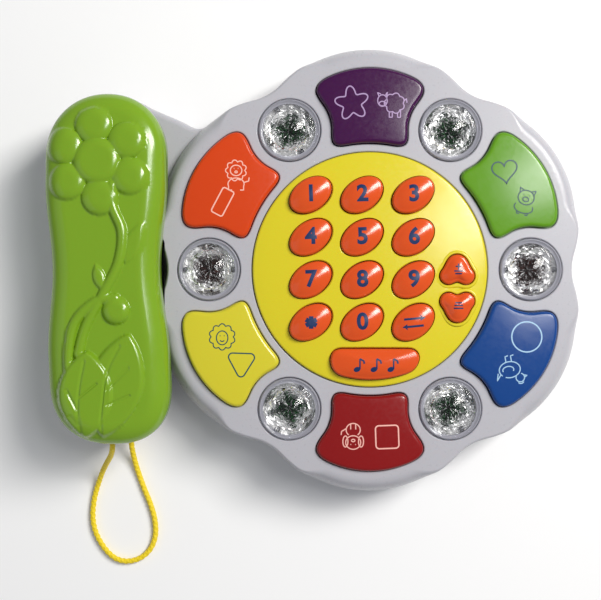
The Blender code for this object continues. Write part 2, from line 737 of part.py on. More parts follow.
def add_upper_shell():
    """The white top: a flower standing on the lower deck of the arm, hollow from below."""
    low = PARTING_Z + SEAM / 2
    deck = [
        (base_loop(0), low),
        (base_loop(0.9 * MM), DECK_Z - 1.0 * MM),
        (base_loop(2.8 * MM), DECK_Z),
    ]
    flower = [
        (flower_loop(0), low),
        (flower_loop(0, 0.9 * MM), TOP_Z - 10 * MM),
        (flower_loop(0, 4.4 * MM), TOP_Z - 3.0 * MM),
        (flower_loop(0, 8.8 * MM), TOP_Z),
    ]
    flower_hollow = [
        (flower_loop(WALL), low - 2 * MM),
        (flower_loop(WALL, 1.4 * MM), UNDER_Z - 7 * MM),
        (flower_loop(WALL, 5.2 * MM), UNDER_Z),
    ]
    deck_hollow = prism(base_loop(WALL + 0.15 * MM), low - 2.6 * MM, DECK_Z - SKIN)
    shell = paint(add("upper_shell", loft(deck)), WHITE, 0.3)
    combine(shell, cutter("guide_flower", loft(flower)), "UNION")
    combine(shell, cutter("cut_flower_hollow", loft(flower_hollow)), "DIFFERENCE")
    combine(shell, cutter("cut_deck_hollow", deck_hollow), "DIFFERENCE")

    inside = prism(slot_loop(WALL), low + 0.2 * MM, DECK_Z - 1.0 * MM)
    for side in (-1, 1):
        cup = shift(circle(PAD_RADIUS + PAD_GAP + 1.8 * MM, 20), HANDSET_X, side * PAD_Y)
        prism(cup, DECK_Z - PAD_DEPTH - 1.4 * MM, DECK_Z - 1.1 * MM, inside)
    towers = tower_places()
    for x, y in towers[:3]:
        prism(shift(circle(TOWER_RADIUS, 8), x, y), low + 2.0 * MM, UNDER_Z + 0.6 * MM, inside)
    x, y = towers[3]
    prism(shift(circle(TOWER_RADIUS, 8), x, y), low + 1.2 * MM, DECK_Z - 1.2 * MM, inside)
    combine(shell, cutter("guide_shell_inside", inside), "UNION")

    cuts = prism(slot_loop(0), 0, TOP_Z + 2 * MM)
    above = TOP_Z + 5 * MM
    through = UNDER_Z - 6 * MM
    prism(circle(KEYPAD_RADIUS + SEAM, 40), through, above, cuts)
    loop, middle = petal_loop(20)
    for _, axis in lobe_axes():
        hole = turn(shift(inset(loop, -SLIDE_GAP), middle, 0), axis)
        prism(hole, through, above, cuts)
    for angle, x, y in jewel_places():
        prism(shift(circle(JEWEL_RADIUS + SEAM, 16), x, y), through, above, cuts)
    for side in (-1, 1):
        well = shift(circle(PAD_RADIUS + PAD_GAP, 20), HANDSET_X, side * PAD_Y)
        prism(well, DECK_Z - PAD_DEPTH, above, cuts)
    for x, y in towers:
        pilot = shift(circle(SCREW_RADIUS + 0.2 * MM, 8), x, y)
        prism(pilot, low - 1 * MM, SCREW_SEAT_Z + SCREW_LENGTH + 0.4 * MM, cuts)
    combine(shell, cutter("cut_shell_openings", cuts), "DIFFERENCE")


def door_loop(clearance):
    """The battery door: a rectangle with a screw tab on its far edge."""
    x = BAY_LENGTH / 2 + DOOR_LEDGE + clearance
    low = BAY_MIDDLE_Y - BAY_WIDTH / 2 - DOOR_LEDGE - clearance
    high = BAY_MIDDLE_Y + BAY_WIDTH / 2 + DOOR_LEDGE + clearance
    tab_x = 4.5 * MM + clearance
    tab_y = high + DOOR_TAB
    return [
        (-x, low), (x, low), (x, high), (tab_x, high),
        (tab_x, tab_y), (-tab_x, tab_y), (-tab_x, high), (-x, high),
    ]


def add_lower_shell():
    """The tray: a flat floor with the battery bay, screw towers and speaker grille."""
    top = PARTING_Z - SEAM / 2
    rings = [
        (base_loop(WALL + 2.0 * MM), SKIN),
        (base_loop(WALL), top),
        (base_loop(0), top),
        (base_loop(1.8 * MM), 2.4 * MM),
        (base_loop(3.4 * MM), 0.0),
    ]
    shell = paint(add("lower_shell", loft(rings)), WHITE, 0.35)

    mid_floor = SKIN / 2
    inside = prism(slot_loop(WALL), mid_floor, top - 0.2 * MM)
    bay = rectangle(BAY_LENGTH + 2 * BAY_WALL, BAY_WIDTH + 2 * BAY_WALL)
    prism(shift(bay, 0, BAY_MIDDLE_Y), mid_floor, BAY_TOP_Z + BAY_ROOF, inside)
    towers = tower_places()
    for x, y in towers:
        seat = shift(circle(SEAT_RADIUS + TOWER_WALL, 8), x, y)
        tube = shift(circle(TOWER_RADIUS, 8), x, y)
        height = SCREW_SEAT_Z + 1.6 * MM
        loft([(seat, mid_floor), (seat, height), (tube, height), (tube, top + 0.8 * MM)], inside)
    boss = shift(circle(TOWER_RADIUS + 0.3 * MM, 8), 0, DOOR_SCREW_Y + 0.2 * MM)
    combine(shell, cutter("guide_tray_inside", inside), "UNION")
    tab = prism(boss, mid_floor, DOOR_TOP_Z + DOOR_SCREW_LENGTH + 1.2 * MM)
    combine(shell, cutter("guide_door_boss", tab), "UNION")

    cuts = prism(slot_loop(0), -2 * MM, TOP_Z)
    recess = loft([(door_loop(SEAM), -2 * MM), (door_loop(SEAM), DOOR_TOP_Z + SEAM)])
    bay = shift(rectangle(BAY_LENGTH, BAY_WIDTH), 0, BAY_MIDDLE_Y)
    prism(bay, DOOR_TOP_Z, BAY_TOP_Z, cuts)
    for x, y in towers:
        seat = shift(circle(SEAT_RADIUS, 8), x, y)
        tube = shift(circle(HOLE_RADIUS, 8), x, y)
        loft([(seat, -2 * MM), (seat, SCREW_SEAT_Z), (tube, SCREW_SEAT_Z), (tube, TOP_Z)], cuts)
    pilot = shift(circle(SCREW_RADIUS + 0.1 * MM, 8), 0, DOOR_SCREW_Y)
    prism(pilot, DOOR_TOP_Z, DOOR_INSET + DOOR_SEAT + DOOR_SCREW_LENGTH + 0.5 * MM, cuts)
    for i in range(5):
        bar_y = SPEAKER_Y + (i - 2) * 5 * MM
        reach = math.sqrt((SPEAKER_RADIUS - 4 * MM) ** 2 - ((i - 2) * 5 * MM) ** 2)
        prism(shift(rectangle(2 * reach, 2 * MM), 0, bar_y), -2 * MM, SKIN + 0.6 * MM, cuts)
    knob_slot = rectangle(6.4 * MM + SWITCH_TRAVEL + 2 * SLIDE_GAP, 5 * MM + 2 * SLIDE_GAP)
    slot_x = SWITCH_X + SWITCH_TRAVEL / 2
    prism(shift(knob_slot, slot_x, 0), -2 * MM, SKIN + 0.6 * MM, cuts)
    combine(shell, cutter("cut_tray_openings", cuts), "DIFFERENCE")
    combine(shell, cutter("cut_door_recess", recess), "DIFFERENCE")
    x, y, z = (value * MM for value in CORD_ROUTE[-1])
    hole = prism(circle(CORD_DIAMETER / 2 + CORD_HOLE_GAP, 12), -4 * MM, 14 * MM)
    combine(shell, lay_down(cutter("cut_cord_hole_base", hole), (x, y, z)), "DIFFERENCE")


def lay_down(piece, place):
    """Turn a piece's +Z to -Y and put it in place."""
    piece.location = place
    piece.rotation_euler = (math.pi / 2, 0, 0)
    return piece


def screw(name, place, length, parent=None):
    """A self-tapping screw with its head down and its seat at the given place."""
    profile = [
        (0, -SCREW_HEAD_HEIGHT),
        (SCREW_HEAD_RADIUS * 0.7, -SCREW_HEAD_HEIGHT),
        (SCREW_HEAD_RADIUS, -SCREW_HEAD_HEIGHT * 0.6),
        (SCREW_HEAD_RADIUS, 0),
        (SCREW_RADIUS - 0.2 * MM, 0),
        (SCREW_RADIUS - 0.2 * MM, length - 1.5 * MM),
        (0, length),
    ]
    paint(add(name, lathe(profile, 8), place, parent=parent), STEEL, 0.3, metallic=1.0)


def add_power():
    """Batteries and their contacts, the door with its screw, the speaker and the switch."""
    radius, half = BATTERY_DIAMETER / 2, BATTERY_LENGTH / 2
    cell = [
        (0, -half), (radius - 0.6 * MM, -half), (radius, -half + 0.6 * MM),
        (radius, half - 2 * MM), (radius - 0.6 * MM, half - 1.4 * MM),
        (2.7 * MM, half - 1.4 * MM), (2.7 * MM, half), (0, half),
    ]
    pitch = BATTERY_DIAMETER + BATTERY_CLEARANCE
    for i in range(BATTERIES):
        y = BAY_MIDDLE_Y + (i - (BATTERIES - 1) / 2) * pitch
        lie = (0, math.pi / 2 * (1 - 2 * (i % 2)), 0)
        battery = add(f"battery_{i + 1}", lathe(cell, 12), (0, y, BATTERY_Z), lie)
        paint(battery, (0.05, 0.05, 0.06), 0.3)
    for side, name in ((-1, "left"), (1, "right")):
        x = side * (BAY_LENGTH / 2 - SEAM - CONTACT_THICKNESS / 2)
        strip = rectangle(CONTACT_THICKNESS, BAY_WIDTH - 2 * SEAM)
        body = prism(shift(strip, x, BAY_MIDDLE_Y), BATTERY_Z - 4 * MM, BATTERY_Z + 4 * MM)
        paint(add(f"battery_contact_{name}", body), STEEL, 0.25, metallic=1.0)

    carry = carrier("battery_door_axis", (0, BAY_MIDDLE_Y, 0))
    loop = shift(door_loop(0), 0, -BAY_MIDDLE_Y)
    door = add("battery_door", prism(loop, DOOR_INSET, DOOR_TOP_Z), parent=carry)
    paint(door, WHITE, 0.35)
    tab_y = DOOR_SCREW_Y - BAY_MIDDLE_Y
    seat = shift(circle(SEAT_RADIUS, 10), 0, DOOR_SCREW_Y)
    bore = shift(circle(HOLE_RADIUS, 10), 0, DOOR_SCREW_Y)
    seat_z = DOOR_INSET + DOOR_SEAT
    hole = loft([(seat, -1 * MM), (seat, seat_z), (bore, seat_z), (bore, 4 * MM)])
    combine(door, cutter("cut_door_screw_hole", hole), "DIFFERENCE")
    profile = [
        (0, -0.8 * MM), (SCREW_HEAD_RADIUS, -0.8 * MM), (SCREW_HEAD_RADIUS, 0),
        (SCREW_RADIUS - 0.2 * MM, 0), (SCREW_RADIUS - 0.2 * MM, DOOR_SCREW_LENGTH - 1 * MM),
        (0, DOOR_SCREW_LENGTH),
    ]
    head = (0, tab_y, seat_z - SEAM / 3)
    door_screw = add("battery_door_screw", lathe(profile, 8), head, parent=carry)
    paint(door_screw, STEEL, 0.3, metallic=1.0)

    floor = SKIN + SEAM
    cone = [
        (0, floor), (SPEAKER_RADIUS, floor), (SPEAKER_RADIUS, floor + 1.5 * MM),
        (SPEAKER_RADIUS * 0.85, floor + 2 * MM), (SPEAKER_RADIUS * 0.5, floor + 6 * MM),
        (SPEAKER_RADIUS * 0.5, floor + 10 * MM), (0, floor + 10 * MM),
    ]
    speaker = add("speaker", lathe(cone, 18), (0, SPEAKER_Y, 0))
    paint(speaker, (0.05, 0.05, 0.05), 0.6)

    thumb = rectangle(6.4 * MM, 5.0 * MM)
    stem = rectangle(3.0 * MM, 2.6 * MM)
    rings = [(thumb, 0.4 * MM), (thumb, SKIN + 0.3 * MM), (stem, SKIN + 0.3 * MM), (stem, 5.6 * MM)]
    paint(add("power_switch_knob", loft(rings), (SWITCH_X, 0, 0)), (0.03, 0.03, 0.03), 0.5)
    slot = rectangle(3.0 * MM + SWITCH_TRAVEL + 2 * SLIDE_GAP, 2.6 * MM + 2 * SLIDE_GAP)
    case = rectangle(19 * MM, 8 * MM)
    low = SKIN + 0.3 * MM + SEAM
    rings = [(slot, 6.2 * MM), (slot, low), (case, low), (case, 9 * MM)]
    place = (SWITCH_X + SWITCH_TRAVEL / 2, 0, 0)
    paint(add("power_switch_body", loft(rings), place), STEEL, 0.4, metallic=1.0)


def add_electronics():
    """The circuit board with a lamp under each jewel, and the two silicone contact sheets."""
    board = add("circuit_board", prism(circle(BOARD_RADIUS, 24), BOARD_Z, BOARD_TOP_Z))
    paint(board, (0.02, 0.16, 0.06), 0.45)
    lamps = bmesh.new()
    for _, x, y in jewel_places():
        lamp_top = UNDER_Z - 4.6 * MM
        prism(shift(circle(2.5 * MM, 8), x, y), BOARD_TOP_Z - 0.5 * MM, lamp_top, lamps)
    combine(board, cutter("guide_lamps", lamps), "UNION")

    low = BOARD_TOP_Z + SEAM
    sheet_top = low + 1.0 * MM
    sheet = prism(circle(KEYPAD_RADIUS - 4 * MM, 24), low, sheet_top)
    keypad = paint(add("keypad_membrane", sheet), SILICONE, 0.7)
    domes = bmesh.new()
    tip = BOARD_TOP_Z + 4.6 * MM - SEAM
    for _, (x, y) in key_outlines().values():
        wide, narrow = shift(circle(4 * MM, 6), x, y), shift(circle(2.4 * MM, 6), x, y)
        loft([(wide, low + 0.5 * MM), (wide, sheet_top + 0.4 * MM), (narrow, tip)], domes)
    combine(keypad, cutter("guide_key_domes", domes), "UNION")

    outer, inner = BOARD_RADIUS - 1 * MM, KEYPAD_RADIUS + 4.5 * MM
    ring = prism(circle(outer, 24), low, sheet_top)
    petals = paint(add("petal_membrane", ring), SILICONE, 0.7)
    combine(petals, cutter("cut_petal_ring", prism(circle(inner, 24), 0, TOP_Z)), "DIFFERENCE")
    domes = bmesh.new()
    holes = bmesh.new()
    _, middle = petal_loop(20)
    tip = TOP_Z + PETAL_RISE - PETAL_WALL - SEAM
    for (_, axis), (_, x, y) in zip(lobe_axes(), jewel_places()):
        px, py = middle * math.cos(axis), middle * math.sin(axis)
        wide, narrow = shift(circle(5 * MM, 8), px, py), shift(circle(3 * MM, 8), px, py)
        rings = [(wide, low + 0.5 * MM), (wide, sheet_top + 0.5 * MM)]
        loft(rings + [(narrow, sheet_top + 1.6 * MM), (narrow, tip)], domes)
        prism(shift(circle(5 * MM, 8), x, y), 0, TOP_Z, holes)
    combine(petals, cutter("guide_petal_domes", domes), "UNION")
    combine(petals, cutter("cut_lamp_holes", holes), "DIFFERENCE")


def handset_loop(count=14):
    """The handset's outline about its middle: two full ends and a slimmer grip."""
    half = HANDSET_LENGTH / 2
    straight = half - HANDSET_END
    points = []

    def width_at(y):
        bulge = math.sin(math.pi / 2 * min(abs(y) / (half * 0.5), 1.0)) ** 2
        return (HANDSET_GRIP_WIDTH + (HANDSET_WIDTH - HANDSET_GRIP_WIDTH) * bulge) / 2

    for side in (1, -1):
        fullness = 2.1 if side > 0 else 2.4
        steps = count
        for i in range(steps + 1):
            angle = math.pi * i / steps
            c, s = math.cos(angle), math.sin(angle)
            x = math.copysign(abs(c) ** (2 / fullness), c) * HANDSET_WIDTH / 2
            y = abs(s) ** (2 / fullness) * HANDSET_END
            points.append((side * x, side * (straight + y)))
        for i in range(1, 10):
            y = side * straight * (1 - i / 5)
            points.append((-side * width_at(y), y))
    return [(x + lean(y), y) for x, y in points]


def lean(y):
    """The handset bows a little: its mouth end lies further right than its grip."""
    share = y / (HANDSET_LENGTH / 2)
    return (-0.9 + 2.0 * share * share - 1.2 * share) * MM


def smooth_path(points, count):
    """A path in the plane with its corners rounded, as evenly numbered points per stretch."""
    knots = [Vector(p) for p in points]
    knots = [2 * knots[0] - knots[1]] + knots + [2 * knots[-1] - knots[-2]]
    path = []
    for a, b, c, d in zip(knots, knots[1:], knots[2:], knots[3:]):
        for i in range(count):
            t = i / count
            bend = 2 * a - 5 * b + 4 * c - d
            twist = 3 * b - 3 * c + d - a
            path.append((2 * b + (c - a) * t + bend * t * t + twist * t**3) / 2)
    return [tuple(p) for p in path + [knots[-2]]]


def bar_loop(path, radius):
    """The outline of a bar of even width that follows a path."""
    left, right = [], []
    for i, (x, y) in enumerate(path):
        ax, ay = path[max(i - 1, 0)]
        bx, by = path[min(i + 1, len(path) - 1)]
        size = math.hypot(bx - ax, by - ay)
        nx, ny = (ay - by) / size * radius, (bx - ax) / size * radius
        left.append((x + nx, y + ny))
        right.append((x - nx, y - ny))
    return right + left[::-1]


def leaf_loop(tip, foot, width):
    """A leaf's outline: two arcs between its tip and its foot."""
    side = []
    for i in range(LEAF_STEPS + 1):
        share = i / LEAF_STEPS
        side.append((share, math.sin(math.pi * share) ** LEAF_FULLNESS * width / 2))
    ux, uy = foot[0] - tip[0], foot[1] - tip[1]
    length = math.hypot(ux, uy)

    def at(share, across):
        return (
            tip[0] + ux * share - uy / length * across,
            tip[1] + uy * share + ux / length * across,
        )

    return [at(s, -w) for s, w in side] + [at(s, w) for s, w in reversed(side[1:-1])]


def raised(loop, height, edge, bm):
    """A raised body on the handset's crown, rooted below it, with a sloping edge."""
    rings = [(loop, -RELIEF_ROOT), (loop, height - edge), (inset(loop, edge), height)]
    return loft([(ring, HANDSET_CROWN_Z + z) for ring, z in rings], bm)


def relief_bodies():
    """The moulded flower, stem, tendril, bud and leaves on the handset's crown."""
    bm = bmesh.new()
    discs = [(BUD, BUD_RADIUS, RELIEF), (BLOOM, BLOOM_RADIUS, RELIEF + BLOOM_HEART_RISE)]
    for i in range(BLOOM_PETALS):
        angle = BLOOM_TURN + i * TAU / BLOOM_PETALS
        reach = BLOOM_PETAL_RING
        place = (BLOOM[0] + reach * math.cos(angle), BLOOM[1] + reach * math.sin(angle))
        discs.append((place, BLOOM_PETAL_RADIUS, RELIEF))
    for (x, y), radius, height in discs:
        raised(shift(circle(radius, 16), x, y), height, RELIEF_EDGE, bm)
    for path in (STEM, TENDRIL):
        raised(bar_loop(smooth_path(path, 3), STEM_RADIUS), STEM_RISE, RELIEF_EDGE / 2, bm)
    for tip, foot, width, height in LEAVES:
        raised(leaf_loop(tip, foot, width), height, RELIEF_EDGE, bm)
    return bm


def add_handset(carry):
    """The handset's two shells, screwed together through its ear and mouth pads."""
    loop = handset_loop()
    seam = HANDSET_SEAM_Z
    crown = HANDSET_CROWN_Z
    outside = [
        (loop, seam + SEAM / 2),
        (loop, seam + 4.5 * MM),
        (inset(loop, 1.8 * MM), crown - 4.4 * MM),
        (inset(loop, 4.6 * MM), crown - 1.6 * MM),
        (inset(loop, 8.6 * MM), crown),
    ]
    hollow = [
        (inset(loop, SKIN), seam - 2 * MM),
        (inset(loop, SKIN), seam + 4 * MM),
        (inset(loop, 4.6 * MM), crown - 5.0 * MM),
        (inset(loop, 9 * MM), crown - 2.6 * MM),
    ]
    front = paint(add("handset_front_shell", loft(outside), parent=carry), GREEN, 0.25)
    relief = cutter("guide_relief", relief_bodies())
    relief.parent = carry
    combine(front, relief, "UNION")
    front.modifiers[-1].use_self = True
    inner = cutter("cut_front_hollow", loft(hollow))
    inner.parent = carry
    combine(front, inner, "DIFFERENCE")
    posts = bmesh.new()
    pilots = bmesh.new()
    for side in (-1, 1):
        post = shift(circle(TOWER_RADIUS, 8), HANDSET_X, side * PAD_Y)
        pilot = shift(circle(SCREW_RADIUS + 0.2 * MM, 8), HANDSET_X, side * PAD_Y)
        prism(post, seam + 0.6 * MM, crown - 1.6 * MM, posts)
        prism(pilot, 0, HANDSET_SCREW_Z + SCREW_LENGTH + 0.4 * MM, pilots)
    combine(front, cutter("guide_handset_posts", posts), "UNION")
    combine(front, cutter("cut_handset_pilots", pilots), "DIFFERENCE")

    under = HANDSET_UNDER_Z
    rings = [
        (inset(loop, SKIN + 6.8 * MM), under + SKIN),
        (inset(loop, SKIN + 2.2 * MM), under + SKIN + 3.6 * MM),
        (inset(loop, SKIN), seam - SEAM / 2),
        (loop, seam - SEAM / 2),
        (inset(loop, 1.0 * MM), seam - 3.6 * MM),
        (inset(loop, 4.4 * MM), under + 2.8 * MM),
        (inset(loop, 8.0 * MM), under),
    ]
    back = paint(add("handset_back_shell", loft(rings), parent=carry), GREEN, 0.3)
    pads, bores = bmesh.new(), bmesh.new()
    pad_z = DECK_Z - PAD_DEPTH + SEAM
    for side in (-1, 1):
        def at(radius, count=8):
            return shift(circle(radius, count), HANDSET_X, side * PAD_Y)

        tube = SEAT_RADIUS + TOWER_WALL
        rim = pad_z + 1.2 * MM
        pad = [(at(PAD_RADIUS - 1 * MM, 20), pad_z), (at(PAD_RADIUS, 20), rim)]
        loft(pad + [(at(PAD_RADIUS, 20), under + SKIN / 2)], pads)
        tower_top = HANDSET_SCREW_Z + 1.8 * MM
        bore = [(at(SEAT_RADIUS), pad_z - 1 * MM), (at(SEAT_RADIUS), HANDSET_SCREW_Z)]
        loft(bore + [(at(HOLE_RADIUS), HANDSET_SCREW_Z), (at(HOLE_RADIUS), seam)], bores)
        tower = prism(at(tube), under + SKIN / 2, tower_top)
        combine(back, cutter(f"guide_pad_tower_{side + 2}", tower), "UNION")
    combine(back, cutter("guide_pads", pads), "UNION")
    combine(back, cutter("cut_pad_bores", bores), "DIFFERENCE")
    x, y, z = (value * MM for value in CORD_ROUTE[0])
    hole = prism(circle(CORD_DIAMETER / 2 + CORD_HOLE_GAP, 12), -2 * MM, 14 * MM)
    combine(back, lay_down(cutter("cut_cord_hole_handset", hole), (x, y, z)), "DIFFERENCE")
    for i, side in enumerate((1, -1), 1):
        place = (0, side * PAD_Y, HANDSET_SCREW_Z - SEAM / 3)
        screw(f"handset_screw_{i}", place, SCREW_LENGTH, carry)


def smooth_route(points, spacing):
    """Points a set distance apart on a smooth curve through the route's points."""
    knots = [Vector(p) for p in points]
    knots = [2 * knots[0] - knots[1]] + knots + [2 * knots[-1] - knots[-2]]
    dense = []
    for a, b, c, d in zip(knots, knots[1:], knots[2:], knots[3:]):
        for i in range(16):
            t = i / 16
            bend = 2 * a - 5 * b + 4 * c - d
            twist = 3 * b - 3 * c + d - a
            dense.append((2 * b + (c - a) * t + bend * t * t + twist * t**3) / 2)
    dense.append(knots[-2])
    lengths = [0.0]
    for a, b in zip(dense, dense[1:]):
        lengths.append(lengths[-1] + (b - a).length)
    count = max(2, round(lengths[-1] / spacing))
    even = []
    for i in range(count + 1):
        want = lengths[-1] * i / count
        k = max(1, next((n for n, s in enumerate(lengths) if s >= want), len(lengths) - 1))
        share = (want - lengths[k - 1]) / (lengths[k] - lengths[k - 1])
        even.append(dense[k - 1].lerp(dense[k], min(share, 1.0)))
    return even


def add_cord():
    """The tether: out of the handset's end, round a loop on the table, into the cradle's end."""
    points = smooth_route([Vector(p) * MM for p in CORD_ROUTE], 2.5 * CORD_DIAMETER)
    curve = bpy.data.curves.new("cord", "CURVE")
    curve.dimensions = "3D"
    curve.bevel_depth = CORD_DIAMETER / 2
    curve.bevel_resolution = 2
    curve.use_fill_caps = True
    spline = curve.splines.new("POLY")
    spline.points.add(len(points) - 1)
    for knot, place in zip(spline.points, points):
        knot.co = (*place, 1.0)
    cord = bpy.data.objects.new("cord", curve)
    bpy.context.collection.objects.link(cord)
    paint(cord, (0.85, 0.70, 0.03), 0.6)
    profile = [(0, -KNOT_RADIUS)]
    for degrees in (-50, -10, 30, 65):
        angle = math.radians(degrees)
        profile.append((KNOT_RADIUS * math.cos(angle), KNOT_RADIUS * math.sin(angle)))
    profile.append((0, KNOT_RADIUS))
    for name, end in (("handset", points[0]), ("base", points[-1])):
        place = end + Vector((0, KNOT_RADIUS + SEAM, 0))
        paint(lay_down(add("cord_knot_" + name, lathe(profile, 10)), place), (0.85, 0.70, 0.03), 0.6)


def main():
    for old in list(bpy.data.objects):
        bpy.data.objects.remove(old, do_unlink=True)
    add_keypad_plate()
    add_keys()
    add_petal_buttons()
    add_jewels()
    add_upper_shell()
    add_lower_shell()
    add_power()
    add_electronics()
    add_handset(carrier("handset_lift", (HANDSET_X, 0, 0)))
    for i, (x, y) in enumerate(tower_places(), 1):
        screw(f"base_screw_{i}", (x, y, SCREW_SEAT_Z - SEAM / 3), SCREW_LENGTH)
    add_cord()


main()
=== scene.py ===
"""A flower-shaped toy telephone with a green handset, dressed round its CAD frame."""

import math

import bmesh
import bpy
import numpy as np
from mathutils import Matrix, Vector
from mathutils.bvhtree import BVHTree


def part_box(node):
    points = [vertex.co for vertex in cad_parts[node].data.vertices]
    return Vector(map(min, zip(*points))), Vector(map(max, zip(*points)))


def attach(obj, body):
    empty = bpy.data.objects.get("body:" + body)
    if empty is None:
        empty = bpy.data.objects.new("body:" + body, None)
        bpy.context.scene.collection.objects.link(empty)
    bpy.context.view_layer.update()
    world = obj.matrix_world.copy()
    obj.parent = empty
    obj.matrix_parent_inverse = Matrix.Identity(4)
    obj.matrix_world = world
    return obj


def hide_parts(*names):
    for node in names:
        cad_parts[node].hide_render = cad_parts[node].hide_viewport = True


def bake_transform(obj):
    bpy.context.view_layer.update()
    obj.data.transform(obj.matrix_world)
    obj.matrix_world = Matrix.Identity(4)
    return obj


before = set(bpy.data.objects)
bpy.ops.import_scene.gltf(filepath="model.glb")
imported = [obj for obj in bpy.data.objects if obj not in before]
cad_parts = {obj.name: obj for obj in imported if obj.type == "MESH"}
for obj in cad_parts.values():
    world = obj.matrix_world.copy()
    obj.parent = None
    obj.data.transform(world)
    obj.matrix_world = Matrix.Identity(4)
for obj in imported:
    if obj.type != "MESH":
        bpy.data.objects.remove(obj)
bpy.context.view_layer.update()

bl_info = {
    "name": "Flower Toy Telephone",
    "version": (1, 0, 0),
    "blender": (4, 5, 0),
    "location": "View3D > Sidebar > Toy Phone",
    "description": "Builds the finished looks of a flower-shaped toy telephone on its CAD frame",
    "category": "Object",
}

MM = 0.001
TAU = 2.0 * math.pi

# Fits and walls, as in the CAD frame
WALL = 2.4 * MM
SKIN = 2.2 * MM
SEAM = 0.3 * MM
SLIDE_GAP = 0.4 * MM

# Heights
PARTING_Z = 16.0 * MM
BAY_TOP_Z = 17.5 * MM
DECK_Z = 22.0 * MM
UNDER_Z = 30.5 * MM
TOP_Z = 32.7 * MM
PLATE_EDGE_Z = TOP_Z + 1.2 * MM
PLATE_CROWN = 2.2 * MM
KEY_TOP_Z = 38.5 * MM
PETAL_TOP_Z = TOP_Z + 3.0 * MM
JEWEL_RIM_Z = TOP_Z + 0.6 * MM
HANDSET_UNDER_Z = 24.0 * MM
HANDSET_SEAM_Z = 36.0 * MM
HANDSET_CROWN_Z = 48.6 * MM

# Battery door
DOOR_TAB = 7.0 * MM
DOOR_RECESS_Z = 2.3 * MM
DOOR_LEDGE = 1.5 * MM
BAY_WALL = 3.0 * MM
BAY_ROOF = 1.6 * MM

# Keypad
KEY_LENGTH = 19.4 * MM
KEY_WIDTH = 13.2 * MM
KEY_TILT = math.radians(35.0)
KEY_GRID = (-3.5 * MM, 4.5 * MM)
KEY_HALF_X = math.hypot(KEY_LENGTH * math.cos(KEY_TILT), KEY_WIDTH * math.sin(KEY_TILT)) / 2
KEY_HALF_Y = math.hypot(KEY_LENGTH * math.sin(KEY_TILT), KEY_WIDTH * math.cos(KEY_TILT)) / 2
KEY_PITCH_X = 2 * KEY_HALF_X + 3.85 * MM
KEY_PITCH_Y = 2 * KEY_HALF_Y + 2.25 * MM
CORNER_KEY = (KEY_GRID[0] - KEY_PITCH_X, KEY_GRID[1] + 1.5 * KEY_PITCH_Y)
KEYPAD_RADIUS = math.hypot(*CORNER_KEY) + KEY_WIDTH / 2 + 2.75 * MM
HEART_WIDTH = 14.6 * MM
HEART_HEIGHT = 11.4 * MM
HEART_X = KEY_GRID[0] + KEY_PITCH_X + KEY_HALF_X + 2.3 * MM + HEART_WIDTH / 2
HEART_MIDDLE_Y = -8.0 * MM
HEART_PITCH = 14.7 * MM
MUSIC_WIDTH = 37.2 * MM
MUSIC_MIDDLE_X = 2.0 * MM

# Flower, jewels and petals
LOBES = 6
JEWEL_RADIUS = 13.0 * MM
JEWEL_RING = KEYPAD_RADIUS + 5.3 * MM + JEWEL_RADIUS
PETAL_INNER = KEYPAD_RADIUS + 3.85 * MM
PETAL_LENGTH = 31.4 * MM
PETAL_OUTER = PETAL_INNER + PETAL_LENGTH
PETAL_MIDDLE = (PETAL_INNER + PETAL_OUTER) / 2
LOBE_TIP = PETAL_OUTER + 10.8 * MM
LOBE_OFFSET = 43.0 * MM
LOBE_RADIUS = LOBE_TIP - LOBE_OFFSET
LOBE_BLEND = 5.7 * MM
DIP_SLOPE = 0.28
PETALS = ("green", "purple", "orange", "yellow", "red", "blue")

# Handset and cradle
HANDSET_LENGTH = 144.5 * MM
HANDSET_WIDTH = 49.8 * MM
HANDSET_GRIP_WIDTH = 44.2 * MM
HANDSET_END = 26.0 * MM
HANDSET_STRAIGHT = HANDSET_LENGTH / 2 - HANDSET_END
PAD_RADIUS = 15.0 * MM
PAD_GAP = 0.8 * MM
PAD_DEPTH = 4.6 * MM
PAD_Y = HANDSET_LENGTH / 2 - 28.0 * MM
SLOT_WIDTH = 4.2 * MM

# Domes and foil
DOME_RADIUS = 10.7 * MM
DOME_HEIGHT = 5.9 * MM
FOIL_RADIUS = 11.3 * MM
FOIL_THICKNESS = 0.5 * MM

# Prints
INK_DEPTH = 0.14 * MM

# Camera: straight above, as wide as this at the housing's top
CAMERA_PLACE = (-29.1 * MM, -12.8 * MM, 520 * MM)
VIEW_WIDTH = 252.42 * MM
SENSOR_WIDTH = 36.0

# Relief on the handset, in millimetres about its middle
BLOOM = (-3.5, 43.7)
BLOOM_RADIUS = 9.7
BLOOM_PETAL_RADIUS = 7.6
BLOOM_PETAL_RING = 14.7
BLOOM_TURN = math.radians(35.0)
STEM = [(2.7, 34.0), (2.9, 25.3), (6.8, 14.8), (5.2, 2.2), (-0.5, -9.6), (-7.8, -23.3), (-11.0, -34.7)]
TENDRIL = [(-13.6, -45.0), (-15.2, -37.5), (-12.7, -22.5), (-4.1, -13.6), (4.0, -12.0)]
STEM_RADIUS = 2.1
BUD = (4.4, -17.2)
BUD_RADIUS = 5.7
LEAF_FULLNESS = 0.7
LEAVES = [
    ((9.6, -26.6), (-1.0, -68.5), 22.5, 1.6),
    ((-7.4, -33.5), (-8.2, -69.2), 23.4, 2.5),
    ((-4.0, 1.6), (-1.0, -8.9), 5.3, 1.1),
    ((15.2, 18.8), (8.0, 2.0), 7.4, 0.7),
]
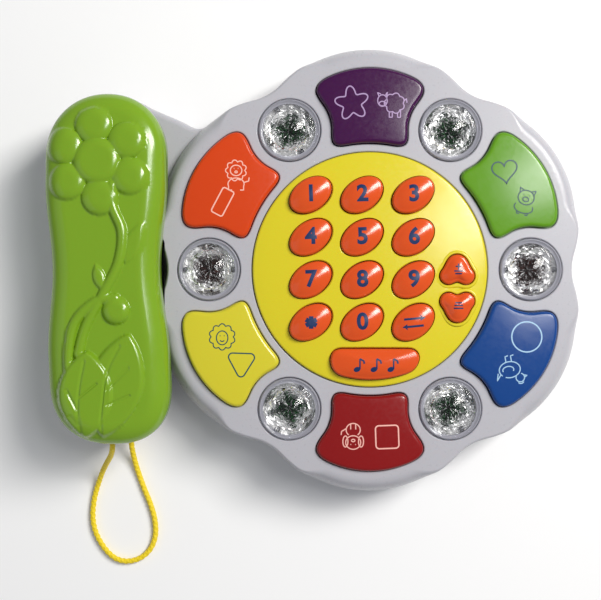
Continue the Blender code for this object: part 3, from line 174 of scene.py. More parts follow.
LEAF_VEINS = [
    [(6.0, -31.4), (1.9, -39.5), (0.2, -45.6), (-0.6, -52.0), (-1.5, -62.0), (-1.3, -67.1)],
    [(0.9, -49.3), (9.6, -40.4)],
    [(1.1, -55.4), (10.0, -51.5)],
    [(-8.2, -37.5), (-10.2, -48.0), (-10.8, -58.6), (-9.6, -67.5)],
    [(-10.4, -52.5), (-3.3, -46.8)],
    [(-11.4, -57.0), (-15.5, -48.9)],
    [(-11.0, -63.1), (-14.3, -59.8)],
]

# Cord: the route's points, as in the CAD frame
CORD_DIAMETER = 2.5 * MM
CORD_ROUTE = [
    (-108.7, -65.0, 30.0),
    (-108.7, -70.5, 30.0),
    (-108.9, -75.6, 27.8),
    (-110.6, -79.6, 21.4),
    (-113.6, -83.8, 13.4),
    (-116.6, -88.6, 6.6),
    (-119.2, -94.6, 2.6),
    (-121.2, -101.6, 1.45),
    (-121.9, -109.0, 1.4),
    (-120.9, -115.6, 1.4),
    (-118.2, -121.4, 1.4),
    (-114.2, -126.4, 1.4),
    (-109.6, -129.1, 1.4),
    (-104.4, -129.3, 1.4),
    (-99.4, -127.3, 1.4),
    (-95.6, -123.1, 1.4),
    (-93.9, -117.3, 1.4),
    (-94.3, -110.6, 1.4),
    (-96.2, -103.9, 1.4),
    (-98.8, -97.4, 1.4),
    (-101.2, -90.8, 1.5),
    (-103.0, -84.0, 3.0),
    (-103.8, -77.6, 6.2),
    (-103.9, -71.5, 7.6),
    (-103.9, -66.0, 7.8),
]


# ---------------------------------------------------------------- outlines


def smooth_max(a, b, blend):
    """The larger of two values, with the corner between them rounded."""
    near = max(blend - abs(a - b), 0.0) / blend
    return max(a, b) + near * near * blend / 4


def smooth_min(a, b, blend):
    return -smooth_max(-a, -b, blend)


def flower_radius(angle):
    """The flower's outline: six arcs on a ring, run smoothly into each other."""
    step = TAU / LOBES
    off_axis = abs(angle % step - step / 2)

    def reach(turn):
        side = LOBE_OFFSET * math.sin(turn)
        return LOBE_OFFSET * math.cos(turn) + math.sqrt(LOBE_RADIUS**2 - side**2)

    return smooth_max(reach(off_axis), reach(step - off_axis), LOBE_BLEND)


DIP_RADIUS = flower_radius(math.pi)
FLOWER_LEFT = LOBE_OFFSET * math.cos(math.pi / LOBES) + LOBE_RADIUS
HANDSET_X = -(FLOWER_LEFT + HANDSET_WIDTH / 2 - 6.0 * MM)
SLOT_X = -(DIP_RADIUS + SLOT_WIDTH / 2) + 0.2 * MM
GRIP_RADIUS = -HANDSET_X - DIP_RADIUS - SLOT_WIDTH
EAR_RADIUS = HANDSET_WIDTH / 2 + 0.6 * MM
EAR_Y = HANDSET_LENGTH / 2 + 2.75 * MM - EAR_RADIUS
MOUTH_RADIUS = HANDSET_WIDTH / 2 - 3.4 * MM
MOUTH_Y = -HANDSET_LENGTH / 2 + 0.25 * MM + MOUTH_RADIUS
NECK_END = (HANDSET_X + 17.5 * MM, EAR_Y - 7.5 * MM)
BRIDGE_Y = -30.0 * MM


def capsule(x, y, start, end, radius):
    """How far a point lies inside a round-ended bar; negative outside."""
    ax, ay = start
    bx, by = end[0] - ax, end[1] - ay
    along = ((x - ax) * bx + (y - ay) * by) / max(bx * bx + by * by, 1e-12)
    along = min(max(along, 0.0), 1.0)
    return radius - math.hypot(x - ax - along * bx, y - ay - along * by)


def base_field(x, y):
    """Positive inside the base's outline: the flower, the cradle, its neck and its bridge."""
    blend = 6.0 * MM
    ear, mouth = (HANDSET_X, EAR_Y), (HANDSET_X, MOUTH_Y)
    neck = capsule(x, y, ear, NECK_END, EAR_RADIUS - 0.5 * MM)
    top = max(capsule(x, y, ear, ear, EAR_RADIUS), neck)
    bottom = capsule(x, y, mouth, mouth, MOUTH_RADIUS)
    grip = capsule(x, y, ear, mouth, GRIP_RADIUS)
    bridge = capsule(x, y, (HANDSET_X, BRIDGE_Y), (-DIP_RADIUS, BRIDGE_Y), 8.0 * MM)
    arm = smooth_max(max(top, bottom), max(grip, bridge), blend)
    flower = flower_radius(math.atan2(y, x)) - math.hypot(x, y)
    return smooth_max(flower, arm, blend)


def follow(field, start, step):
    """The outline where a field is zero, walked anticlockwise."""
    tiny = 0.01 * MM

    def slope(x, y):
        gx = (field(x + tiny, y) - field(x - tiny, y)) / (2 * tiny)
        gy = (field(x, y + tiny) - field(x, y - tiny)) / (2 * tiny)
        return gx, gy

    def settle(x, y):
        for _ in range(3):
            gx, gy = slope(x, y)
            push = field(x, y) / (gx * gx + gy * gy)
            x, y = x - gx * push, y - gy * push
        return x, y

    loop = [settle(*start)]
    while len(loop) < 4 or math.dist(loop[-1], loop[0]) > step * 1.3:
        x, y = loop[-1]
        gx, gy = slope(x, y)
        size = math.hypot(gx, gy)
        loop.append(settle(x + gy / size * step, y - gx / size * step))
    return loop


def around(field, centre, count, reach):
    """The outline where a field is zero, found along rays from a point inside it."""
    loop = []
    for i in range(count):
        dx, dy = math.cos(TAU * i / count), math.sin(TAU * i / count)
        near, far = 0.0, reach
        for _ in range(30):
            middle = (near + far) / 2
            if field(centre[0] + dx * middle, centre[1] + dy * middle) > 0:
                near = middle
            else:
                far = middle
        loop.append((centre[0] + dx * near, centre[1] + dy * near))
    return loop


def inset(loop, distance):
    """An anticlockwise loop moved inwards along its own normals."""
    return inset_each(loop, [distance] * len(loop))


def inset_each(loop, distances):
    """The same, with a distance for each point."""
    moved = []
    for i, ((x, y), distance) in enumerate(zip(loop, distances)):
        ax, ay = loop[i - 1]
        bx, by = loop[(i + 1) % len(loop)]
        size = math.hypot(bx - ax, by - ay)
        moved.append((x - (by - ay) / size * distance, y + (bx - ax) / size * distance))
    return moved


def shrink(loop, share):
    return [(x * share, y * share) for x, y in loop]


def shift(loop, x, y):
    return [(px + x, py + y) for px, py in loop]


def turn(loop, angle):
    c, s = math.cos(angle), math.sin(angle)
    return [(x * c - y * s, x * s + y * c) for x, y in loop]


def ellipse(length, width, count, tilt=0.0):
    angles = [TAU * i / count for i in range(count)]
    return turn([(length / 2 * math.cos(a), width / 2 * math.sin(a)) for a in angles], tilt)


def circle(radius, count=96):
    return ellipse(2 * radius, 2 * radius, count)


def round_box(length, width, corner, count=8):
    """A rectangle with round corners."""
    loop = []
    for cx, cy, first in ((1, -1, -90), (1, 1, 0), (-1, 1, 90), (-1, -1, 180)):
        x, y = cx * (length / 2 - corner), cy * (width / 2 - corner)
        for i in range(count + 1):
            a = math.radians(first + 90 * i / count)
            loop.append((x + corner * math.cos(a), y + corner * math.sin(a)))
    return loop


def smooth_path(points, count):
    """Points on a smooth curve through a route's points."""
    knots = [Vector(p) for p in points]
    knots = [2 * knots[0] - knots[1]] + knots + [2 * knots[-1] - knots[-2]]
    path = []
    for a, b, c, d in zip(knots, knots[1:], knots[2:], knots[3:]):
        for i in range(count):
            t = i / count
            bend = 2 * a - 5 * b + 4 * c - d
            twist = 3 * b - 3 * c + d - a
            path.append((2 * b + (c - a) * t + bend * t * t + twist * t**3) / 2)
    return path + [knots[-2]]


def even_path(points, spacing):
    """The same curve, with its points a set distance apart."""
    dense = smooth_path(points, 40)
    lengths = [0.0]
    for a, b in zip(dense, dense[1:]):
        lengths.append(lengths[-1] + (b - a).length)
    count = max(2, round(lengths[-1] / spacing))
    wanted = np.linspace(0, lengths[-1], count + 1)
    flat = np.array([tuple(p) for p in dense])
    columns = [np.interp(wanted, lengths, flat[:, i]) for i in range(flat.shape[1])]
    return [Vector(p) for p in zip(*columns)], lengths[-1]


# ---------------------------------------------------------------- bodies


def skin_over(layers, bm=None):
    """One closed body through rings of 3-D points, capped at both ends."""
    bm = bm or bmesh.new()
    rows = [[bm.verts.new(p) for p in layer] for layer in layers]
    faces = [bm.faces.new(rows[0]), bm.faces.new(rows[-1])]
    count = len(rows[0])
    for low, high in zip(rows, rows[1:]):
        for i in range(count):
            j = (i + 1) % count
            faces.append(bm.faces.new((low[i], low[j], high[j], high[i])))
    bmesh.ops.recalc_face_normals(bm, faces=faces)
    bm.normal_update()
    if sum(f.calc_area() * f.verts[0].co.dot(f.normal) for f in faces) < 0:
        bmesh.ops.reverse_faces(bm, faces=faces)
    return bm


def loft(rings, bm=None):
    """A closed body through flat loops, each with its height."""
    return skin_over([[(x, y, z) for x, y in loop] for loop, z in rings], bm)


def prism(loop, low, high, bm=None):
    return loft([(loop, low), (loop, high)], bm)


def lathe(profile, count=96, bm=None, place=(0, 0)):
    """A body turned about an upright axis from (radius, height) pairs."""
    hub = 0.2 * MM
    rings = [(shift(circle(max(r, hub), count), *place), z) for r, z in profile]
    return loft(rings, bm)


def quarter(width, height, steps):
    """A rounded edge as (inset, rise) pairs from its foot to its top."""
    pairs = []
    for i in range(1, steps + 1):
        a = math.pi / 2 * i / steps
        pairs.append((width * (1 - math.cos(a)), height * math.sin(a)))
    return pairs


def opening(loop, low, top, lip, bm):
    """A cutter for a hole whose upper edge is rounded."""
    rings = [(loop, low), (loop, top - lip)]
    for i in range(1, 5):
        a = math.radians(20 * i)
        rings.append((inset(loop, -lip * (1 - math.cos(a))), top - lip + lip * math.sin(a)))
    rings.append((inset(loop, -lip), top + 0.3 * MM))
    rings.append((inset(loop, -lip), top + 6 * MM))
    return loft(rings, bm)


def new_object(name, bm):
    mesh = bpy.data.meshes.new(name)
    bm.to_mesh(mesh)
    bm.free()
    piece = bpy.data.objects.new(name, mesh)
    bpy.context.scene.collection.objects.link(piece)
    return piece


def carve(piece, steps):
    """The piece after exact Booleans with bodies that are then removed."""
    others = []
    for number, (operation, bm) in enumerate(steps):
        other = new_object(f"{piece.name}_step_{number}", bm)
        step = piece.modifiers.new(other.name, "BOOLEAN")
        step.operation = operation
        step.solver = "EXACT"
        step.object = other
        others.append(other)
    graph = bpy.context.evaluated_depsgraph_get()
    mesh = bpy.data.meshes.new_from_object(piece.evaluated_get(graph))
    piece.modifiers.clear()
    piece.data = mesh
    for other in others:
        bpy.data.objects.remove(other)
    if len(mesh.polygons) == 0:
        raise RuntimeError(f"{piece.name} came out empty")
    return piece


def finish_piece(piece, material, body, nodes=(), sharp=32.0, flat=False):
    """Shading, material, the body empty it rides on and the CAD parts it hides, for a finished piece."""
    mesh = piece.data
    mesh.name = piece.name
    mesh.materials.clear()
    mesh.materials.append(material)
    if not flat:
        mesh.shade_smooth()
        mesh.set_sharp_from_angle(angle=math.radians(sharp))
        weighted = piece.modifiers.new("even_normals", "WEIGHTED_NORMAL")
        weighted.keep_sharp = True
        weighted.weight = 80
    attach(piece, body)
    if nodes:
        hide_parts(*nodes)
    return piece


# ---------------------------------------------------------------- prints


def ribbon(points, width, surface, lift, bm, closed=False):
    """A thin raised line of ink that lies on a surface."""
    pairs = list(zip(points, points[1:] + points[:1])) if closed else list(zip(points, points[1:]))
    path = []
    for a, b in pairs:
        steps = max(1, math.ceil(math.dist(a, b) / (0.5 * MM)))
        path += [(a[0] + (b[0] - a[0]) * i / steps, a[1] + (b[1] - a[1]) * i / steps) for i in range(steps)]
    if not closed:
        path.append(tuple(points[-1]))
    count = len(path)
    rows = []
    for i, (x, y) in enumerate(path):
        ax, ay = path[(i - 1) % count] if closed or i else path[0]
        bx, by = path[(i + 1) % count] if closed or i < count - 1 else path[-1]
        size = math.hypot(bx - ax, by - ay) or 1.0
        nx, ny = (ay - by) / size * width / 2, (bx - ax) / size * width / 2
        left = drape_point(surface, x + nx, y + ny, lift)
        right = drape_point(surface, x - nx, y - ny, lift)
        down = Vector((0, 0, INK_DEPTH))
        rows.append([bm.verts.new(p) for p in (left, right, right - down, left - down)])
    turns = range(count) if closed else range(count - 1)
    for i in turns:
        low, high = rows[i], rows[(i + 1) % count]
        for k in range(4):
            bm.faces.new((low[k], high[k], high[(k + 1) % 4], low[(k + 1) % 4]))
    if not closed:
        bm.faces.new(rows[0])
        bm.faces.new(rows[-1][::-1])


def drape_point(surface, x, y, lift):
    """The point of a surface under (x, y), a little above it."""
    hit = surface.ray_cast(Vector((x, y, 0.08)), Vector((0, 0, -1)))[0]
    if hit is None:
        raise RuntimeError(f"a print runs off its surface at {x:.4f}, {y:.4f}")
    return hit + Vector((0, 0, lift))


def filled(loop, surface, lift, bm):
    """A thin raised patch of ink with a given outline."""
    top = [bm.verts.new(drape_point(surface, x, y, lift)) for x, y in loop]
    low = [bm.verts.new(v.co - Vector((0, 0, INK_DEPTH))) for v in top]
    middle_x = sum(x for x, _ in loop) / len(loop)
    middle_y = sum(y for _, y in loop) / len(loop)
    hub = bm.verts.new(drape_point(surface, middle_x, middle_y, lift))
    foot = bm.verts.new(hub.co - Vector((0, 0, INK_DEPTH)))
    for i in range(len(loop)):
        j = (i + 1) % len(loop)
        bm.faces.new((top[i], top[j], hub))
        bm.faces.new((low[j], low[i], foot))
        bm.faces.new((top[j], top[i], low[i], low[j]))


def glyph(text, size, place, lean_angle, surface, lift, bm):
    """A printed figure, made from the built-in typeface and laid on a surface."""
    curve = bpy.data.curves.new("figure", "FONT")
    curve.body = text
    curve.size = size
    curve.offset = size * 0.036
    curve.align_x = "CENTER"
    curve.align_y = "CENTER"
    curve.resolution_u = 6
    holder = bpy.data.objects.new("figure", curve)
    bpy.context.scene.collection.objects.link(holder)
    graph = bpy.context.evaluated_depsgraph_get()
    mesh = bpy.data.meshes.new_from_object(holder.evaluated_get(graph))
    bpy.data.objects.remove(holder)
    part = bmesh.new()
    part.from_mesh(mesh)
    bpy.data.meshes.remove(mesh)
    step = 1.0 * MM
    for axis in (Vector((1, 0, 0)), Vector((0, 1, 0))):
        for k in range(-6, 7):
            everything = part.verts[:] + part.edges[:] + part.faces[:]
            bmesh.ops.bisect_plane(part, geom=everything, plane_co=axis * step * k, plane_no=axis)
    bmesh.ops.remove_doubles(part, verts=part.verts, dist=0.01 * MM)
    cosine, sine = math.cos(lean_angle), math.sin(lean_angle)
    for v in part.verts:
        x, y = v.co.x * cosine - v.co.y * sine, v.co.x * sine + v.co.y * cosine
        v.co = drape_point(surface, place[0] + x, place[1] + y, lift)
    raised = bmesh.ops.extrude_face_region(part, geom=part.faces[:])
    for v in raised["geom"]:
        if isinstance(v, bmesh.types.BMVert):
            v.co.z -= INK_DEPTH
    bmesh.ops.recalc_face_normals(part, faces=part.faces)
    scratch = bpy.data.meshes.new("figure")
    part.to_mesh(scratch)
    part.free()
    bm.from_mesh(scratch)
    bpy.data.meshes.remove(scratch)


def arc(cx, cy, rx, ry, first=0.0, last=360.0, count=28, tilt=0.0):
    """Points of an elliptical arc, in degrees."""
    points = []
    for i in range(count + 1):
        a = math.radians(first + (last - first) * i / count)
        points.append((rx * math.cos(a), ry * math.sin(a)))
    return shift(turn(points, math.radians(tilt)), cx, cy)


def scallops(cx, cy, radius, bumps, depth):
    """A closed wavy ring, like a fleece or a mane."""
    points = []
    for i in range(bumps * 8):
        a = TAU * i / (bumps * 8)
        r = radius + depth * abs(math.sin(bumps * a / 2))
        points.append((cx + r * math.cos(a), cy + r * math.sin(a)))
    return points


def rounded_star(size):
    points = []
    for i in range(80):
        a = TAU * i / 80
        reach = size * (0.78 + 0.22 * math.cos(5 * (a - math.pi / 2)))
        points.append((reach * math.cos(a), reach * math.sin(a)))
    return points


def heart_points(size, count=64):
    points = []
    for i in range(count):
        a = TAU * i / count
        x = 16 * math.sin(a) ** 3
        y = 13 * math.cos(a) - 5 * math.cos(2 * a) - 2 * math.cos(3 * a) - math.cos(4 * a)
        points.append((x * size / 17, (y + 2) * size / 17))
    return points


def round_triangle(size):
    corner = size * 0.28
    points = []
    for angle in (90, 210, 330):
        x = size * math.cos(math.radians(angle)) * 0.72
        y = size * math.sin(math.radians(angle)) * 0.72
        points += arc(x, y, corner, corner, angle - 60, angle + 60, 8)
    return points


# Each creature is a list of lines about its own middle, in millimetres, each open or closed
def cow():
    return [
        (scallops(1.2, 0.0, 3.4, 7, 0.7), True),
        (arc(-3.6, 1.0, 1.9, 2.3), True),
        (arc(-3.6, -0.2, 1.3, 0.9), True),
        ([(-5.0, 2.8), (-5.6, 4.2), (-4.2, 3.6)], False),
        ([(-2.4, 3.2), (-1.6, 4.4), (-2.0, 2.6)], False),
        ([(-0.9, -3.4), (-0.9, -5.6), (0.3, -5.6), (0.3, -3.7)], False),
        ([(2.4, -3.6), (2.4, -5.6), (3.6, -5.6), (3.6, -2.8)], False),
        ([(4.8, 0.8), (6.0, 1.8), (6.2, 0.2)], False),
    ]


def lion():
    return [
        (scallops(0.0, 2.0, 3.4, 9, 0.8), True),
        (arc(0, 2.0, 2.3, 2.1), True),
        (arc(0.0, 1.4, 0.5, 0.4, count=8), True),
        ([(-0.9, 2.8), (-0.7, 2.8)], False),
        ([(0.7, 2.8), (0.9, 2.8)], False),
        (arc(0.0, -3.4, 3.2, 2.4, 200, -20), False),
        ([(-3.0, -4.2), (-3.0, -5.8), (-1.6, -5.8)], False),
        ([(3.0, -4.2), (3.0, -5.8), (1.6, -5.8)], False),
        ([(3.1, -2.8), (5.0, -2.2), (5.2, -0.8)], False),
    ]


def pig():
    return [
        (arc(0, 1.6, 3.6, 3.2), True),
        (arc(0, 0.8, 1.3, 1.0, count=16), True),
        ([(-0.4, 0.8), (-0.35, 0.9)], False),
        ([(0.4, 0.8), (0.45, 0.9)], False),
        ([(-3.2, 3.4), (-3.6, 5.4), (-1.8, 4.6)], False),
        ([(3.2, 3.4), (3.6, 5.4), (1.8, 4.6)], False),
        ([(-1.5, 2.6), (-1.2, 2.7)], False),
        ([(1.2, 2.7), (1.5, 2.6)], False),
        (arc(0, -3.0, 4.2, 2.4, 150, 390), False),
        ([(-2.4, -5.0), (-2.4, -6.0), (-1.2, -6.0)], False),
        ([(2.4, -5.0), (2.4, -6.0), (1.2, -6.0)], False),
    ]


def hen():
    return [
        (arc(0.6, -0.6, 4.2, 3.2, 60, 400), False),
        (arc(-3.0, 3.2, 1.7, 1.7, -60, 250), False),
        ([(-4.6, 3.4), (-5.8, 2.8), (-4.5, 2.4)], False),
        (arc(-3.0, 5.0, 1.0, 0.6, 0, 180, 8), False),
        (arc(1.2, -0.6, 2.2, 1.4, 150, 380, 16), False),
        ([(4.4, 0.8), (6.2, 3.0), (5.4, 0.2)], False),
        ([(-0.6, -3.8), (-0.6, -6.0), (-1.8, -6.2)], False),
        ([(1.6, -3.8), (1.6, -6.0), (0.4, -6.2)], False),
    ]


def dog():
    return [
        (arc(0, 2.0, 3.0, 2.7), True),
        (arc(-3.1, 1.6, 1.0, 2.2), True),
        (arc(3.1, 1.6, 1.0, 2.2), True),
        (arc(0, 1.2, 0.7, 0.5, count=10), True),
        ([(-1.1, 2.8), (-0.8, 2.8)], False),
        ([(0.8, 2.8), (1.1, 2.8)], False),
        (arc(0, -3.0, 2.8, 2.6, 130, 410), False),
        ([(-1.0, -5.4), (-1.0, -3.2)], False),
        ([(1.0, -5.4), (1.0, -3.2)], False),
        ([(2.7, -3.6), (4.6, -2.4), (4.8, -1.0)], False),
    ]


def sheep():
    return [
        (scallops(0, 0, 4.6, 10, 0.9), True),
        (arc(0, -0.4, 2.4, 2.9), True),
        ([(-1.0, 0.5), (-0.7, 0.5)], False),
        ([(0.7, 0.5), (1.0, 0.5)], False),
        (arc(0, -1.2, 0.9, 0.7, 200, 340, 8), False),
    ]


def in_mm(points):
    return [(x * MM, y * MM) for x, y in points]


# ---------------------------------------------------------------- materials


def to_linear(text):
    """A hex sRGB colour as linear red, green and blue."""
    channels = []
    for i in (1, 3, 5):
        value = int(text[i:i + 2], 16) / 255
        channels.append(value / 12.92 if value <= 0.04045 else ((value + 0.055) / 1.055) ** 2.4)
    return tuple(channels)


def add_node(tree, kind, settings=None, values=None, links=None):
    """One node with its settings, socket values and incoming links."""
    node = tree.nodes.new(kind)
    for key, value in (settings or {}).items():
        setattr(node, key, value)
    for key, value in (values or {}).items():
        node.inputs[key].default_value = value
    for key, source in (links or {}).items():
        tree.links.new(source, node.inputs[key])
    return node


def start_material(name, colour, roughness, values=None):
    """A new material with one Principled shader."""
    material = bpy.data.materials.new(name)
    material.use_nodes = True
    tree = material.node_tree
    shader = tree.nodes["Principled BSDF"]
    shader.inputs["Base Color"].default_value = (*colour, 1.0)
    shader.inputs["Roughness"].default_value = roughness
    for key, value in (values or {}).items():
        shader.inputs[key].default_value = value
    return material, tree, shader


def noise(tree, width, detail):
    """A noise fixed to the piece, with grains of about this width."""
    where = add_node(tree, "ShaderNodeTexCoord")
    return add_node(tree, "ShaderNodeTexNoise", values={"Scale": 1 / width, "Detail": detail},
                    links={"Vector": where.outputs["Object"]})


def roughen(tree, shader, height, strength, distance):
    """Bends the light at the surface by a height from a noise."""
    bump = add_node(tree, "ShaderNodeBump", values={"Strength": strength, "Distance": distance},
                    links={"Height": height.outputs["Fac"]})
    tree.links.new(bump.outputs["Normal"], shader.inputs["Normal"])


def shared(build):
    """Makes a material once: pieces that ask for the same name get the same one."""
    def ask(name, *rest, **more):
        return bpy.data.materials.get(name) or build(name, *rest, **more)
    return ask


@shared
def moulded_abs(name, colour, roughness, waviness=0.03):
    """Injection-moulded ABS: a glossy skin with the faint waviness of a polished mould."""
    values = {"IOR": 1.5, "Subsurface Weight": 0.04, "Subsurface Scale": 0.4 * MM}
    material, tree, shader = start_material(name, colour, roughness, values)
    # waves about 9 mm long, a few micrometres deep
    roughen(tree, shader, noise(tree, 9 * MM, 1.0), waviness, 0.6 * MM)
    # handling scuffs about 1.2 mm across dull the gloss in places
    scuff = noise(tree, 1.2 * MM, 4.0)
    spread = add_node(tree, "ShaderNodeMapRange", values={"From Min": 0.35, "From Max": 0.75,
                      "To Min": roughness * 0.9, "To Max": roughness * 1.35},
                      links={"Value": scuff.outputs["Fac"]})
    tree.links.new(spread.outputs["Result"], shader.inputs["Roughness"])
    return material


@shared
def pad_ink(name, colour):
    """Pad-printing ink: thin and satin, duller in some grains than in others."""
    material, tree, shader = start_material(name, colour, 0.38, {"IOR": 1.5})
    # grains of pigment about 0.3 mm across
    grain = noise(tree, 0.3 * MM, 2.0)
    spread = add_node(tree, "ShaderNodeMapRange", values={"To Min": 0.3, "To Max": 0.5},
                      links={"Value": grain.outputs["Fac"]})
    tree.links.new(spread.outputs["Result"], shader.inputs["Roughness"])
    return material


@shared
def clear_styrene(name):
    """Clear moulded polystyrene: bright, hard reflections over what lies under it."""
    values = {"IOR": 1.59, "Transmission Weight": 1.0, "Alpha": 0.25}
    return start_material(name, to_linear("#F6F7FB"), 0.03, values)[0]


@shared
def edge_styrene(name):
    """The same plastic at the rim, where ejector marks and scratches turn it milky."""
    values = {"IOR": 1.59, "Transmission Weight": 0.35, "Alpha": 0.75}
    return start_material(name, to_linear("#C9C9D6"), 0.12, values)[0]


@shared
def pressed_foil(name):
    """Aluminised film pressed over ribs: crisp facets that each catch the light differently."""
    material, tree, shader = start_material(name, to_linear("#D4D4DA"), 0.25)
    where = add_node(tree, "ShaderNodeTexCoord")
    # flakes about 0.8 mm wide that differ a little in brightness
    flakes = add_node(tree, "ShaderNodeTexVoronoi", values={"Scale": 1 / (0.8 * MM)},
                      links={"Vector": where.outputs["Object"]})
    tint = add_node(tree, "ShaderNodeSeparateColor", links={"Color": flakes.outputs["Color"]})
    tone = add_node(tree, "ShaderNodeMapRange", values={"To Min": 0.5, "To Max": 1.0},
                    links={"Value": tint.outputs["Blue"]})
    silver = add_node(tree, "ShaderNodeCombineColor", links={
        "Red": tone.outputs["Result"], "Green": tone.outputs["Result"], "Blue": tone.outputs["Result"]})
    tree.links.new(silver.outputs["Color"], shader.inputs["Base Color"])
    shader.inputs["Metallic"].default_value = 0.45
    return material


@shared
def bare_board(name, dark, light):
    """Solder mask seen where the film is torn: dark, glossy and streaked."""
    material, tree, shader = start_material(name, to_linear(dark), 0.6, {"IOR": 1.3})
    # tracks about 0.9 mm apart
    tracks = noise(tree, 0.9 * MM, 1.0)
    share = add_node(tree, "ShaderNodeMapRange", values={"From Min": 0.5, "From Max": 0.7},
                     links={"Value": tracks.outputs["Fac"]})
    mix = add_node(tree, "ShaderNodeMix", {"data_type": "RGBA"},
                   {6: (*to_linear(dark), 1.0), 7: (*to_linear(light), 1.0)}, {0: share.outputs["Result"]})
    tree.links.new(mix.outputs[2], shader.inputs["Base Color"])
    return material


def braided_polyester(colour):
    """Braided polyester cord: a soft sheen with darker valleys between the strands."""
    values = {"Sheen Weight": 0.35, "Sheen Roughness": 0.4, "IOR": 1.48}
    material, tree, shader = start_material("braided_polyester_yellow", colour, 0.62, values)
    # filaments 0.12 mm wide, drawn at 0.35 mm so that they show
    roughen(tree, shader, noise(tree, 0.35 * MM, 2.0), 0.25, 0.1 * MM)
    return material


@shared
def plain(name, text, roughness, metallic=0.0, grain=0.6, depth=0.1):
    """A plain finish for inner parts, with a fine grain of its own."""
    material, tree, shader = start_material(name, to_linear(text), roughness, {"Metallic": metallic})
    roughen(tree, shader, noise(tree, grain * MM, 3.0), depth, 0.1 * MM)
    return material


def colour_property(name, text, description):
    return bpy.props.FloatVectorProperty(
        name=name, description=description, subtype="COLOR", size=3, min=0.0, max=1.0,
        default=to_linear(text))


def length_property(name, value, description):
    return bpy.props.FloatProperty(
        name=name, description=description, default=value, min=0.0, unit="LENGTH", precision=5)


class ToyPhoneSizes(bpy.types.PropertyGroup):
    """The sizes of the finish that a user might change."""

    lip: length_property("Opening edge", 0.6 * MM, "Rounding round the openings of the housing")
    key_crown: length_property("Key crown", 1.5 * MM, "How much higher a key's middle is than its shoulder")
    petal_edge: length_property("Petal edge", 1.5 * MM, "Rounding of the petal buttons' edges")
    relief: length_property("Relief", 1.0 * MM, "One unit of height of the handset's moulded relief")
    ink_line: length_property("Ink line", 0.45 * MM, "Width of the printed lines")
    ink_lift: length_property("Ink thickness", 0.05 * MM, "How far the ink stands above the plastic")
    braid: length_property("Braid pitch", 2.4 * MM, "Length of one crossing of the cord's strands")


class ToyPhoneColours(bpy.types.PropertyGroup):
    """The colours of the finish."""

    housing: colour_property("Housing", "#B2B1B8", "White ABS of the housing")
    tray: colour_property("Tray", "#B0AFB6", "White ABS of the underside")
    plate: colour_property("Keypad plate", "#D6C824", "Yellow ABS of the keypad plate")
    keys: colour_property("Keys", "#D8501A", "Orange-red ABS of the keys")
    handset: colour_property("Handset", "#779E20", "Lime green ABS of the handset")
    cord: colour_property("Cord", "#EBCF14", "Yellow polyester of the cord")
    navy: colour_property("Navy ink", "#06295A", "Ink of the figures and signs on the keys")
    green: colour_property("Green petal", "#5E9418", "ABS of the green petal button")
    purple: colour_property("Purple petal", "#3C0340", "ABS of the purple petal button")
    orange: colour_property("Orange petal", "#D04008", "ABS of the orange petal button")
    yellow: colour_property("Yellow petal", "#CFC42E", "ABS of the yellow petal button")
    red: colour_property("Red petal", "#860A0C", "ABS of the red petal button")
    blue: colour_property("Blue petal", "#0A3F84", "ABS of the blue petal button")


def sizes():
    return bpy.context.scene.toy_phone_sizes


def colours():
    return bpy.context.scene.toy_phone_colours


# ---------------------------------------------------------------- pieces


class TOYPHONE_OT_cord(bpy.types.Operator):
    """Builds the braided cord that runs from the handset to the cradle"""

    bl_idname = "toyphone.cord"
    bl_label = "Cord"

    def execute(self, context):
        places = [Vector(p) * MM for p in CORD_ROUTE]
        path, length = even_path(places, 0.22 * MM)
        sides = 20
        radius = CORD_DIAMETER / 2
        pitch = sizes().braid
        layers = []
        side = Vector((1, 0, 0))
        for i, point in enumerate(path):
            ahead = path[min(i + 1, len(path) - 1)] - path[max(i - 1, 0)]
            ahead.normalize()
            side = (side - ahead * side.dot(ahead)).normalized()
            up = ahead.cross(side)
            along = i * 0.22 * MM / pitch * TAU
            ring = []
            for k in range(sides):
                a = TAU * k / sides
                left, right = math.cos(3 * a - along), math.cos(3 * a + along)
                strand = max(left, right)
                r = radius * (0.86 + 0.14 * strand)
                ring.append(point + (side * math.cos(a) + up * math.sin(a)) * r)
            layers.append(ring)
        piece = new_object("braided_cord", skin_over(layers))
        mesh = piece.data
        mesh.materials.append(braided_polyester(colours().cord))
        mesh.shade_smooth()
        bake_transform(piece)
        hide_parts("cord")
        return {"FINISHED"}


def petal_loop(count):
    """A petal button's outline about its middle, for the lobe on +X."""
    side = JEWEL_RADIUS + 5.0 * MM
    half_step = math.pi / LOBES
    jewels = [(JEWEL_RING * math.cos(half_step), s * JEWEL_RING * math.sin(half_step)) for s in (-1, 1)]

    def field(x, y):
        outer = PETAL_OUTER - LOBE_OFFSET - math.hypot(x - LOBE_OFFSET, y)
        sides = min(math.hypot(x - jx, y - jy) for jx, jy in jewels) - side
        inner = math.hypot(x, y) - PETAL_INNER
        return smooth_min(smooth_min(outer, sides, 9.0 * MM), inner, 7.0 * MM)

    return shift(around(field, (PETAL_MIDDLE, 0), count, PETAL_LENGTH), -PETAL_MIDDLE, 0)


def heart_loop(count, way=1, grow=0.0):
    """A heart with its notch upwards, or downwards where way is -1."""
    radius = HEART_WIDTH * 0.25
    shoulder = (HEART_WIDTH / 2 - radius, HEART_HEIGHT / 2 - radius)
    tip = (0.0, -HEART_HEIGHT / 2 + radius * 0.9)

    def field(x, y):
        halves = [capsule(side * x, way * y, shoulder, tip, radius * 0.97) for side in (-1, 1)]
        return smooth_max(*halves, 3.5 * MM) + grow

    return around(field, (0, 0), count, HEART_WIDTH)


